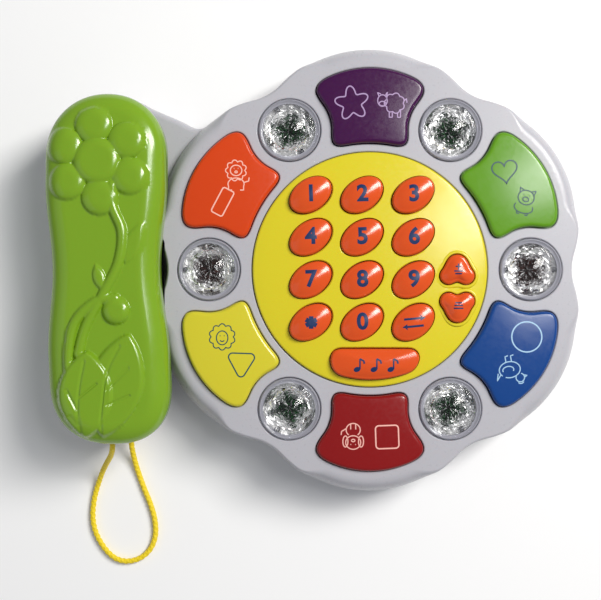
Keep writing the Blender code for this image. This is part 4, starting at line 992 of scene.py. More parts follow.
def music_loop(count):
    """The bar key: straight above, and below it follows the plate's edge."""
    top = KEY_GRID[1] - 1.5 * KEY_PITCH_Y - KEY_HALF_Y - 3.3 * MM
    rim = KEYPAD_RADIUS - 3.15 * MM
    middle = (MUSIC_MIDDLE_X, (top - rim) / 2)

    def field(x, y):
        ends = MUSIC_WIDTH / 2 - abs(x - MUSIC_MIDDLE_X)
        edges = min(top - y, rim - math.hypot(x, y))
        return smooth_min(ends, edges, 5 * MM)

    return shift(around(field, middle, count, MUSIC_WIDTH), -middle[0], -middle[1]), middle


def key_outlines():
    """Every key's outline about its own middle, and the place of that middle."""
    outlines = {}
    for i, name in enumerate("1 2 3 4 5 6 7 8 9 star 0 function".split()):
        row, column = divmod(i, 3)
        x = KEY_GRID[0] + (column - 1) * KEY_PITCH_X
        y = KEY_GRID[1] + (1.5 - row) * KEY_PITCH_Y
        outlines["key_" + name] = (ellipse(KEY_LENGTH, KEY_WIDTH, 96, KEY_TILT), (x, y))
    up, down = HEART_MIDDLE_Y + HEART_PITCH / 2, HEART_MIDDLE_Y - HEART_PITCH / 2
    outlines["key_heart_up"] = (heart_loop(120, -1), (HEART_X, up))
    outlines["key_heart_down"] = (heart_loop(120), (HEART_X, down))
    outlines["key_music"] = music_loop(160)
    return outlines


def plate_height(radius):
    """The keypad plate's crowned top."""
    return PLATE_EDGE_Z + PLATE_CROWN * (1 - (radius / KEYPAD_RADIUS) ** 2)


def jewel_places():
    angles = [i * TAU / LOBES for i in range(LOBES)]
    return [(a, JEWEL_RING * math.cos(a), JEWEL_RING * math.sin(a)) for a in angles]


def lobe_axes():
    return [(i + 0.5) * TAU / LOBES for i in range(LOBES)]


def flower_loop(wall, slope=0.0, count=300):
    """The flower's outline, with a slope that is steeper beside the jewels."""
    points, distances = [], []
    for i in range(count):
        angle = TAU * i / count
        radius = flower_radius(angle)
        off_axis = abs(angle % (TAU / LOBES) - math.pi / LOBES)
        ease = min(max((off_axis * LOBES / math.pi - 0.4) / 0.27, 0.0), 1.0)
        ease = ease * ease * (3 - 2 * ease)
        points.append((radius * math.cos(angle), radius * math.sin(angle)))
        distances.append(wall + slope * (1 - ease * (1 - DIP_SLOPE)))
    return inset_each(points, distances)


def slot_loop(clearance):
    """The open slot between the cradle's waist and the flower."""
    radius = SLOT_WIDTH / 2 + clearance
    loop = []
    for first, y in ((math.pi, -15 * MM), (0.0, 11 * MM)):
        for i in range(17):
            angle = first + math.pi * i / 16
            loop.append((SLOT_X + radius * math.cos(angle), y + radius * math.sin(angle)))
    return loop


def tower_places():
    ring = PETAL_OUTER - 2.0 * MM
    angles = [axis - math.radians(22.0) for axis in lobe_axes()[::2]]
    return [(ring * math.cos(a), ring * math.sin(a)) for a in angles] + [(HANDSET_X, 0.0)]


def cord_hole(place, inward):
    """A cutter that lies along Y, for the hole that the cord leaves by."""
    x, y, z = (value * MM for value in place)
    ring = circle(CORD_DIAMETER / 2 + 0.6 * MM, 32)
    return skin_over([[(x + u, y - v * MM, z + w) for u, w in ring] for v in (-inward, 14)])


class TOYPHONE_OT_upper_shell(bpy.types.Operator):
    """Builds the white upper housing with its rounded openings"""

    bl_idname = "toyphone.upper_shell"
    bl_label = "Upper housing"

    def execute(self, context):
        lip = sizes().lip
        low = PARTING_Z + SEAM / 2
        outline = follow(base_field, (DIP_RADIUS, 0.0), 2.0 * MM)
        deck_sides = [(0, 16.15), (0.5, 19.2), (0.8, 20.2), (1.3, 21.2), (2.0, 21.8), (2.9, 22.0)]
        deck = [(inset(outline, (d + 0.15) * MM), z * MM) for d, z in deck_sides]
        flower_sides = [
            (0, 16.15), (0.35, 19.5), (0.9, 22.9), (1.7, 26.0), (2.5, 28.4), (3.4, 30.2),
            (4.3, 31.4), (5.3, 32.1), (6.5, 32.5), (8.0, 32.7),
        ]
        flower = [(flower_loop(0, d * MM), z * MM) for d, z in flower_sides]
        flower_hollow = [
            (flower_loop(WALL), low - 2 * MM),
            (flower_loop(WALL, 1.4 * MM), UNDER_Z - 7 * MM),
            (flower_loop(WALL, 5.2 * MM), UNDER_Z),
        ]
        deck_hollow = prism(inset(outline, WALL + 0.3 * MM), low - 2.6 * MM, DECK_Z - SKIN)
        inside = prism(slot_loop(WALL), low + 0.2 * MM, DECK_Z - 1.0 * MM)
        for side in (-1, 1):
            cup = shift(circle(PAD_RADIUS + PAD_GAP + 1.8 * MM), HANDSET_X, side * PAD_Y)
            prism(cup, DECK_Z - PAD_DEPTH - 1.4 * MM, DECK_Z - 1.1 * MM, inside)
        cuts = prism(slot_loop(0), 0, TOP_Z + 2 * MM)
        through = UNDER_Z - 6 * MM
        opening(circle(KEYPAD_RADIUS + SEAM, 180), through, TOP_Z, lip, cuts)
        petal = inset(petal_loop(160), -SLIDE_GAP)
        for axis in lobe_axes():
            opening(turn(shift(petal, PETAL_MIDDLE, 0), axis), through, TOP_Z, lip, cuts)
        for _, x, y in jewel_places():
            opening(shift(circle(JEWEL_RADIUS + SEAM), x, y), through, TOP_Z, lip, cuts)
        for side in (-1, 1):
            well = shift(circle(PAD_RADIUS + PAD_GAP), HANDSET_X, side * PAD_Y)
            opening(well, DECK_Z - PAD_DEPTH, DECK_Z, lip, cuts)
        piece = carve(new_object("housing_top", loft(deck)), [
            ("UNION", loft(flower)), ("DIFFERENCE", loft(flower_hollow)), ("DIFFERENCE", deck_hollow),
            ("UNION", inside), ("DIFFERENCE", cuts)])
        white = moulded_abs("moulded_abs_white", colours().housing, 0.3)
        finish_piece(piece, white, "base", ["upper_shell"])
        return {"FINISHED"}


class TOYPHONE_OT_lower_shell(bpy.types.Operator):
    """Builds the tray with its grille, screw wells and battery recess"""

    bl_idname = "toyphone.lower_shell"
    bl_label = "Lower housing"

    def execute(self, context):
        top = PARTING_Z - SEAM / 2
        outline = inset(follow(base_field, (DIP_RADIUS, 0.0), 2.0 * MM), 0.15 * MM)
        sides = [(0, 15.85), (0.6, 11.0), (1.2, 6.0), (1.7, 2.8), (2.1, 1.4), (2.8, 0.5), (3.8, 0.0)]
        rings = [(inset(outline, WALL + 2.0 * MM), SKIN), (inset(outline, WALL), top)]
        rings += [(inset(outline, d * MM), z * MM) for d, z in sides]
        door_lo, door_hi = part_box("battery_door")
        middle_x, middle_y = (door_lo.x + door_hi.x) / 2, (door_lo.y + door_hi.y) / 2
        door_size = (door_hi.x - door_lo.x, door_hi.y - door_lo.y - DOOR_TAB)
        body_y = middle_y - DOOR_TAB / 2
        inside = prism(slot_loop(WALL), SKIN / 2, top - 0.2 * MM)
        for x, y in tower_places():
            prism(shift(circle(3.8 * MM, 40), x, y), SKIN / 2, 9.6 * MM, inside)
        bay = (door_size[0] - 2 * DOOR_LEDGE, door_size[1] - 2 * DOOR_LEDGE)
        walls = round_box(bay[0] + 2 * BAY_WALL, bay[1] + 2 * BAY_WALL, 2 * MM)
        prism(shift(walls, middle_x, body_y), SKIN / 2, BAY_TOP_Z + BAY_ROOF, inside)
        screw_lo, screw_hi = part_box("battery_door_screw")
        screw_place = ((screw_lo.x + screw_hi.x) / 2, (screw_lo.y + screw_hi.y) / 2)
        boss = prism(shift(circle(3.1 * MM, 40), *screw_place), SKIN / 2, screw_hi.z + 1.2 * MM)
        cuts = prism(slot_loop(0), -2 * MM, TOP_Z)
        prism(shift(round_box(*bay, 0.8 * MM), middle_x, body_y), 2.0 * MM, BAY_TOP_Z, cuts)
        prism(shift(circle(1.3 * MM, 32), *screw_place), 2.0 * MM, screw_hi.z + 0.5 * MM, cuts)
        for x, y in tower_places():
            well = [(3.2, -1.0), (2.9, 0.3), (2.8, 0.8), (2.8, 8.0), (1.7, 8.0), (1.7, 12.0)]
            loft([(shift(circle(r * MM, 40), x, y), z * MM) for r, z in well], cuts)
        for i in range(5):
            bar_y = -42 * MM + (i - 2) * 5 * MM
            reach = math.sqrt((15.5 * MM) ** 2 - ((i - 2) * 5 * MM) ** 2)
            bar = round_box(2 * reach, 2 * MM, 0.99 * MM)
            prism(shift(bar, 0, bar_y), -2 * MM, SKIN + 0.6 * MM, cuts)
        knob_lo, knob_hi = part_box("power_switch_knob")
        slot = round_box(knob_hi.x - knob_lo.x + 4.8 * MM, knob_hi.y - knob_lo.y + 0.8 * MM, 0.8 * MM)
        knob_x = (knob_lo.x + knob_hi.x) / 2 + 2 * MM
        prism(shift(slot, knob_x, 0), -2 * MM, SKIN + 0.6 * MM, cuts)
        plan = round_box(door_size[0] + 2 * SEAM, door_size[1] + 2 * SEAM, 0.8 * MM)
        recess = prism(shift(plan, middle_x, body_y), -2 * MM, DOOR_RECESS_Z)
        plan = round_box(9.6 * MM, 2 * DOOR_TAB, 0.8 * MM)
        notch = prism(shift(plan, middle_x, door_hi.y - DOOR_TAB + SEAM), -2 * MM, DOOR_RECESS_Z)
        hole = cord_hole(CORD_ROUTE[-1], 4)
        piece = carve(new_object("housing_tray", loft(rings)), [
            ("UNION", inside), ("UNION", boss), ("DIFFERENCE", cuts), ("DIFFERENCE", recess),
            ("DIFFERENCE", notch), ("DIFFERENCE", hole)])
        white = moulded_abs("moulded_abs_white_tray", colours().tray, 0.34)
        finish_piece(piece, white, "base", ["lower_shell"])
        return {"FINISHED"}


class TOYPHONE_OT_keypad_plate(bpy.types.Operator):
    """Builds the yellow crowned plate round the keys"""

    bl_idname = "toyphone.keypad_plate"
    bl_label = "Keypad plate"

    def execute(self, context):
        outer = KEYPAD_RADIUS
        flange = UNDER_Z - SEAM
        under = UNDER_Z + SKIN
        profile = [
            (0, under), (outer - 1.4 * MM, under), (outer - 1.4 * MM, flange - 1.5 * MM),
            (outer + 1.7 * MM, flange - 1.5 * MM), (outer + 1.7 * MM, flange), (outer, flange),
            (outer, PLATE_EDGE_Z - 1.0 * MM),
        ]
        profile += [(outer - d, PLATE_EDGE_Z - 1.0 * MM + z) for d, z in quarter(1.0 * MM, 1.0 * MM, 6)]
        for i in range(1, 24):
            radius = (outer - 1.0 * MM) * (1 - i / 24)
            profile.append((radius, plate_height(radius)))
        profile.append((0, plate_height(0)))
        steps = []
        outlines = key_outlines()
        for name, way in (("key_heart_up", -1), ("key_heart_down", 1)):
            x, y = outlines[name][1]
            z = plate_height(math.hypot(x, y))
            pad = [(1.9 * MM, under + 1 * MM), (1.8 * MM, z + 0.05 * MM), (1.5 * MM, z + 0.4 * MM),
                   (1.1 * MM, z + 0.55 * MM)]
            rings = [(shift(heart_loop(96, way, grow), x, y), height) for grow, height in pad]
            steps.append(("UNION", loft(rings)))
        holes = bmesh.new()
        for name, (loop, (x, y)) in outlines.items():
            rise = 0.55 * MM if "heart" in name else 0.0
            top = plate_height(math.hypot(x, y)) + rise
            opening(shift(inset(loop, -SLIDE_GAP), x, y), under - 6 * MM, top, 0.45 * MM, holes)
        steps.append(("DIFFERENCE", holes))
        piece = carve(new_object("keypad_cover", lathe(profile, 180)), steps)
        yellow = moulded_abs("moulded_abs_yellow", colours().plate, 0.2, 0.06)
        finish_piece(piece, yellow, "base", ["keypad_plate"], sharp=40)
        return {"FINISHED"}


def key_cap(loop):
    """A domed key cap about its own middle, with its flange and plunger below."""
    crown = sizes().key_crown
    edge_z = KEY_TOP_Z - crown - 1.3 * MM
    flange_z = UNDER_Z + 0.3 * MM
    foot = circle(2.6 * MM, len(loop))
    rings = [(foot, 26.0 * MM), (foot, flange_z), (inset(loop, -0.7 * MM), flange_z),
             (inset(loop, -0.7 * MM), flange_z + 1.4 * MM), (loop, flange_z + 1.4 * MM), (loop, edge_z)]
    for across, rise in quarter(1.3 * MM, 1.3 * MM, 7):
        rings.append((inset(loop, across * 0.9), edge_z + rise))
    shoulder = rings[-1][0]
    for i in range(1, 15):
        share = 1 - i / 15
        rings.append((shrink(shoulder, share), edge_z + 1.3 * MM + crown * (1 - share**2)))
    return loft(rings)


class TOYPHONE_OT_keys(bpy.types.Operator):
    """Builds the fifteen keys and what is printed on them"""

    bl_idname = "toyphone.keys"
    bl_label = "Keys"

    def execute(self, context):
        red = moulded_abs("moulded_abs_orange_red", colours().keys, 0.17, 0.03)
        ink = pad_ink("pad_ink_navy", colours().navy)
        lift = sizes().ink_lift
        for name, (loop, place) in key_outlines().items():
            bm = key_cap(loop)
            for v in bm.verts:
                v.co.x += place[0]
                v.co.y += place[1]
            surface = BVHTree.FromBMesh(bm)
            finish_piece(new_object(name + "_cap", bm), red, name, [name], sharp=50)
            marks = bmesh.new()
            self.print_on(name.split("_", 1)[1], place, surface, lift, marks)
            finish_piece(new_object(name + "_print", marks), ink, name, sharp=50)
        return {"FINISHED"}

    def print_on(self, label, place, surface, lift, marks):
        """The figure or sign of one key."""
        x, y = place

        def line(points, width=0.9, closed=False):
            ribbon(shift(in_mm(points), x, y), width * MM, surface, lift, marks, closed)

        def patch(points):
            filled(shift(in_mm(points), x, y), surface, lift, marks)

        if label.isdigit():
            glyph(label, 9.4 * MM, (x + 0.2 * MM, y + 0.2 * MM), math.radians(2), surface, lift, marks)
        elif label == "star":
            for degrees in (30, 90, 150):
                dx, dy = 2.6 * math.cos(math.radians(degrees)), 2.6 * math.sin(math.radians(degrees))
                line([(0.3 - dx, -dy), (0.3 + dx, dy)], 1.9)
        elif label == "function":
            line([(-4.0, 1.2), (3.2, 1.9)], 0.9)
            patch([(4.9, 2.1), (2.7, 3.2), (2.9, 0.7)])
            line([(4.2, -1.2), (-3.0, -1.9)], 0.9)
            patch([(-4.7, -2.1), (-2.5, -3.2), (-2.7, -0.7)])
        elif label == "music":
            for shift_x in (-6.4, 0.6, 7.6):
                patch([(px + shift_x - 1.2, py - 2.0) for px, py in arc(0, 0, 1.4, 1.05, 0, 345, 23, 20)])
                line([(shift_x, -1.9), (shift_x, 2.4)], 0.65)
                line([(shift_x, 2.4), (shift_x + 1.6, 1.5), (shift_x + 1.8, 0.4)], 0.75)
        elif label == "heart_up":
            line([(0.2, 0.4), (0.2, 3.0)], 0.6)
            line([(-1.0, 1.8), (1.4, 1.8)], 0.6)
            line([(-1.6, -0.1), (2.0, -0.1)], 0.6)
            line([(-1.2, -1.2), (1.6, -1.2)], 0.6)
        elif label == "heart_down":
            line([(-1.2, 1.4), (1.6, 1.4)], 0.6)
            line([(-1.6, 0.3), (2.0, 0.3)], 0.6)
            line([(-1.8, -0.9), (2.2, -0.9)], 0.6)
        else:
            raise RuntimeError(f"no sign for the key {label}")


class TOYPHONE_OT_petal_buttons(bpy.types.Operator):
    """Builds the six petal buttons and their line drawings"""

    bl_idname = "toyphone.petal_buttons"
    bl_label = "Petal buttons"

    def execute(self, context):
        loop = petal_loop(200)
        edge = sizes().petal_edge
        flange_z = UNDER_Z - SEAM - 1.6 * MM
        crown = 0.9 * MM
        inner, flange = inset(loop, 2.0 * MM), inset(loop, -1.3 * MM)
        rings = [(inner, PETAL_TOP_Z - 3.0 * MM), (inner, flange_z), (flange, flange_z),
                 (flange, flange_z + 1.6 * MM), (loop, flange_z + 1.6 * MM), (loop, PETAL_TOP_Z - edge)]
        for across, rise in quarter(edge, edge, 8):
            rings.append((inset(loop, across), PETAL_TOP_Z - edge + rise))
        shoulder = rings[-1][0]
        for i in range(1, 16):
            rings.append((shrink(shoulder, 1 - i / 16), PETAL_TOP_Z))
        pale = {"green": "#123E52", "purple": "#A98DB8", "orange": "#F4B9A8",
                "yellow": "#1D4A50", "red": "#F0B4A8", "blue": "#9FC4E0"}
        art = {
            "green": ((pig(), 0.95, (64.7, 28.5), -15), (in_mm(heart_points(5.6)), (56.3, 40.6), 8)),
            "purple": ((cow(), 1.05, (8.9, 69.4), 0), (in_mm(rounded_star(7.2)), (-7.6, 69.4), 8)),
            "orange": ((lion(), 1.05, (-56.0, 39.2), 0),
                       (in_mm(round_box(11.4, 5.2, 0.9)), (-61.6, 28.2), 62)),
            "yellow": ((sheep(), 1.0, (-61.8, -28.2), 0),
                       (in_mm(round_triangle(6.0)), (-53.8, -38.9), 178)),
            "red": ((dog(), 1.05, (-7.1, -70.2), 180), (in_mm(round_box(9.6, 9.6, 1.4)), (7.1, -70.0), 2)),
            "blue": ((hen(), 1.05, (59.0, -42.4), 190),
                     (in_mm(arc(0, 0, 6.3, 6.3, 0, 352, 44)), (65.4, -28.2), 0)),
        }
        width, lift = sizes().ink_line, sizes().ink_lift
        for name, axis in zip(PETALS, lobe_axes()):
            bm = loft(rings)
            c, s = math.cos(axis), math.sin(axis)
            for v in bm.verts:
                if v.co.z > PETAL_TOP_Z - 2 * edge:
                    v.co.z -= crown * (v.co.x**2 + v.co.y**2) / (PETAL_LENGTH / 2) ** 2 / 2
                px, py = v.co.x + PETAL_MIDDLE, v.co.y
                v.co.x, v.co.y = px * c - py * s, px * s + py * c
            surface = BVHTree.FromBMesh(bm)
            plastic = moulded_abs(f"moulded_abs_{name}_petal", getattr(colours(), name), 0.2, 0.05)
            body = "petal_button_" + name
            finish_piece(new_object(body + "_cap", bm), plastic, body, [body], sharp=50)
            marks = bmesh.new()
            (creature, scale, place, tilt), (shape, shape_place, shape_tilt) = art[name]
            for points, closed in creature:
                points = points[:-1] if closed and points[0] == points[-1] else points
                placed = turn([(px * scale * MM, py * scale * MM) for px, py in points], math.radians(tilt))
                placed = shift(placed, place[0] * MM, place[1] * MM)
                ribbon(placed, width, surface, lift, marks, closed)
            outline = turn(shape, math.radians(shape_tilt))
            outline = shift(outline, shape_place[0] * MM, shape_place[1] * MM)
            ribbon(outline, width * 1.25, surface, lift, marks, True)
            ink = pad_ink(f"pad_ink_on_{name}", to_linear(pale[name]))
            finish_piece(new_object(body + "_print", marks), ink, body, sharp=50)
        return {"FINISHED"}


def dome_height(radius):
    """The clear dome's outer surface above the housing's rim."""
    share = min(radius / DOME_RADIUS, 1.0)
    return JEWEL_RIM_Z + 0.2 * MM + DOME_HEIGHT * math.sqrt(max(1 - share**2, 0.0))


class TOYPHONE_OT_jewels(bpy.types.Operator):
    """Builds the six clear domes and the foil dishes under them"""

    bl_idname = "toyphone.jewels"
    bl_label = "Jewels"

    def execute(self, context):
        glass = clear_styrene("clear_moulded_polystyrene")
        milky = edge_styrene("clear_moulded_polystyrene_rim")
        foil = pressed_foil("pressed_aluminised_film")
        green = bare_board("solder_mask_green", "#040A07", "#0F4A1E")
        brown = bare_board("solder_mask_brown", "#120706", "#34120E")
        pin_plastic = plain("moulded_abs_dark_pin", "#1B1E2C", 0.25)
        flange = UNDER_Z - SEAM
        shares = [math.sin(math.pi / 2 * i / 14) for i in range(14)]
        inner = [(r * 9.4 * MM, JEWEL_RIM_Z - 0.9 * MM + 5.6 * MM * math.sqrt(1 - r * r)) for r in shares]
        inner += [(11.6 * MM, JEWEL_RIM_Z - 1.0 * MM), (11.6 * MM, flange - 1.4 * MM)]
        outer = [(13.9 * MM, flange - 1.4 * MM), (13.9 * MM, flange), (13.0 * MM, flange)]
        bead = [(13.0, -0.3), (12.8, 0.25), (12.4, 0.5), (12.0, 0.25), (11.6, 0), (11.0, 0)]
        outer += [(r * MM, JEWEL_RIM_Z + z * MM) for r, z in bead]
        outer += [(r * DOME_RADIUS, dome_height(r * DOME_RADIUS)) for r in reversed(shares)]
        for number, (angle, x, y) in enumerate(jewel_places(), 1):
            lens = new_object(f"jewel_dome_{number}", lathe(inner + outer, 72))
            self.seat(lens, angle, x, y)
            finish_piece(lens, glass, "base", [f"jewel_lens_{number}"], sharp=40)
            lens.data.materials.append(milky)
            for face in lens.data.polygons:
                if face.center.xy.length > 11.0 * MM and face.normal.z > -0.2:
                    face.material_index = 1
            dish = new_object(f"jewel_foil_{number}", self.foil(number))
            self.seat(dish, angle, x, y)
            stands_for = [f"jewel_reflector_{number}"]
            finish_piece(dish, foil, "base", stands_for, flat=True)
            dish.data.materials.append(brown if number in (1, 4) else green)
            self.tear(dish.data, number)
            pins = bmesh.new()
            pin = [(r * MM, z * MM) for r, z in ((1.2, 29.6), (1.2, 31.0), (0.8, 31.4), (0.1, 31.5))]
            for side in (-1, 1):
                lathe(pin, 24, pins, (side * 10.1 * MM, 0))
            pair = new_object(f"jewel_pins_{number}", pins)
            self.seat(pair, angle, x, y)
            finish_piece(pair, pin_plastic, "base", sharp=40)
        return {"FINISHED"}

    def seat(self, piece, angle, x, y):
        piece.location = (x, y, 0)
        piece.rotation_euler = (0, 0, angle)

    def scatter(self, *seeds):
        """A repeatable number from 0 to 1."""
        mixed = sum(seed * weight for seed, weight in zip(seeds, (12.9898, 78.233, 3.7)))
        value = math.sin(mixed) * 43758.5453
        return value - math.floor(value)

    def tear(self, mesh, number):
        """Gives the facets of a ragged square and two crescents the colour of the bare board."""
        for face in mesh.polygons:
            x, y = abs(face.center.x) / MM, abs(face.center.y) / MM
            ragged = (self.scatter(face.index, 1.3, number) - 0.5) * 1.8
            square = max(x, y) + ragged < 6.0
            crescent = y - 0.35 * x + ragged * 0.8 > 7.9
            if (square or crescent) and self.scatter(face.index, 5.1, number) > 0.07:
                face.material_index = 1

    def foil(self, number):
        """A shallow dish of small facets, each tipped its own way."""
        bm = bmesh.new()
        sectors, rings = 44, 13
        rows = []
        for k in range(1, rings + 1):
            radius = FOIL_RADIUS * k / rings
            row = []
            for i in range(sectors):
                wobble = self.scatter(i + 1, k, number) - 0.5
                a = TAU * (i + 0.5 * (k % 2) + 0.3 * wobble) / sectors
                height = 28.9 * MM + 1.2 * MM * (k / rings) ** 2 + wobble * 0.45 * MM
                row.append(bm.verts.new((radius * math.cos(a), radius * math.sin(a), height)))
            rows.append(row)
        hub = bm.verts.new((0, 0, 29.1 * MM))
        for i in range(sectors):
            j = (i + 1) % sectors
            bm.faces.new((hub, rows[0][i], rows[0][j]))
            for k, (low, high) in enumerate(zip(rows, rows[1:])):
                if k % 2:
                    bm.faces.new((low[i], high[i], high[j]))
                    bm.faces.new((low[i], high[j], low[j]))
                else:
                    bm.faces.new((low[i], high[i], low[j]))
                    bm.faces.new((low[j], high[i], high[j]))
        bm.normal_update()
        upper = bm.faces[:]
        if sum(f.normal.z for f in upper) < 0:
            bmesh.ops.reverse_faces(bm, faces=upper)
        below = bmesh.ops.extrude_face_region(bm, geom=upper)
        for v in below["geom"]:
            if isinstance(v, bmesh.types.BMVert):
                v.co.z -= FOIL_THICKNESS
        bmesh.ops.recalc_face_normals(bm, faces=bm.faces)
        return bm


# ---------------------------------------------------------------- handset


def lean(y):
    """The handset bows a little: its mouth end lies further right than its grip."""
    share = y / (HANDSET_LENGTH / 2)
    return (-0.9 + 2.0 * share * share - 1.2 * share) * MM


def handset_loop(arc_steps, side_steps):
    """The handset's outline about its middle, with the spine point that each point runs to."""
    half = HANDSET_LENGTH / 2
    loop, spine = [], []

    def width_at(y):
        bulge = math.sin(math.pi / 2 * min(abs(y) / (half * 0.5), 1.0)) ** 2
        return (HANDSET_GRIP_WIDTH + (HANDSET_WIDTH - HANDSET_GRIP_WIDTH) * bulge) / 2

    for side in (1, -1):
        fullness = 2.1 if side > 0 else 2.4
        for i in range(arc_steps + 1):
            angle = math.pi * i / arc_steps
            c, s = math.cos(angle), math.sin(angle)
            x = math.copysign(abs(c) ** (2 / fullness), c) * HANDSET_WIDTH / 2
            y = side * (HANDSET_STRAIGHT + abs(s) ** (2 / fullness) * HANDSET_END)
            loop.append((side * x + lean(y), y))
            spine.append((lean(side * HANDSET_STRAIGHT), side * HANDSET_STRAIGHT))
        for i in range(1, side_steps):
            y = side * HANDSET_STRAIGHT * (1 - 2 * i / side_steps)
            loop.append((-side * width_at(y) + lean(y), y))
            spine.append((lean(y), y))
    return loop, spine


def path_distance(x, y, path):
    """How far each of many points lies from a path, in millimetres."""
    best = np.full(x.shape, 1e9)
    for (ax, ay), (bx, by) in zip(path, path[1:]):
        ux, uy = bx - ax, by - ay
        along = np.clip(((x - ax) * ux + (y - ay) * uy) / (ux * ux + uy * uy), 0, 1)
        best = np.minimum(best, np.hypot(x - ax - along * ux, y - ay - along * uy))
    return best


def rounded(depth, edge):
    """A step's height from 0 to 1, with a round edge as wide as given."""
    share = np.clip(depth / edge, 0, 1)
    return np.sqrt(1 - (1 - share) ** 2)


def leaf_depth(x, y, tip, foot, width):
    """How far inside a leaf each point lies, in millimetres."""
    ux, uy = foot[0] - tip[0], foot[1] - tip[1]
    length = math.hypot(ux, uy)
    share = np.clip(((x - tip[0]) * ux + (y - tip[1]) * uy) / length**2, 0, 1)
    across = np.abs((x - tip[0]) * uy - (y - tip[1]) * ux) / length
    reach = np.sin(math.pi * share) ** LEAF_FULLNESS * width / 2
    return (reach - across) * 0.85


def relief_height(x, y):
    """The moulded bloom, stem, tendril, bud and leaves, in units of height."""
    height = np.zeros(x.shape)
    for tip, foot, width, rise in LEAVES:
        depth = leaf_depth(x, y, tip, foot, width)
        inside = depth > 0
        height = np.where(inside, np.maximum(height, rise * rounded(depth, 1.9)), height)
    cut = np.zeros(x.shape)
    for vein in LEAF_VEINS:
        path = [tuple(p) for p in smooth_path(vein, 6)] if len(vein) > 2 else vein
        away = path_distance(x, y, path)
        cut = np.maximum(cut, 0.5 * np.clip(1 - (away / 0.6) ** 2, 0, 1))
    height = np.where(height > 0.4, height - cut, height)
    for path in (STEM, TENDRIL):
        away = path_distance(x, y, [tuple(p) for p in smooth_path(path, 8)])
        height = np.maximum(height, 1.7 * rounded(STEM_RADIUS - away, STEM_RADIUS))
    away = np.hypot(x - BUD[0], y - BUD[1])
    height = np.maximum(height, 2.3 * rounded(BUD_RADIUS - away, 3.6))
    for i in range(6):
        a = BLOOM_TURN + i * TAU / 6
        px, py = BLOOM[0] + BLOOM_PETAL_RING * math.cos(a), BLOOM[1] + BLOOM_PETAL_RING * math.sin(a)
        away = np.hypot(x - px, y - py)
        height = np.maximum(height, 2.1 * rounded(BLOOM_PETAL_RADIUS - away, 5.2))
    away = np.hypot(x - BLOOM[0], y - BLOOM[1])
    height = np.maximum(height, 2.5 * rounded(BLOOM_RADIUS - away, 4.2))
    return height


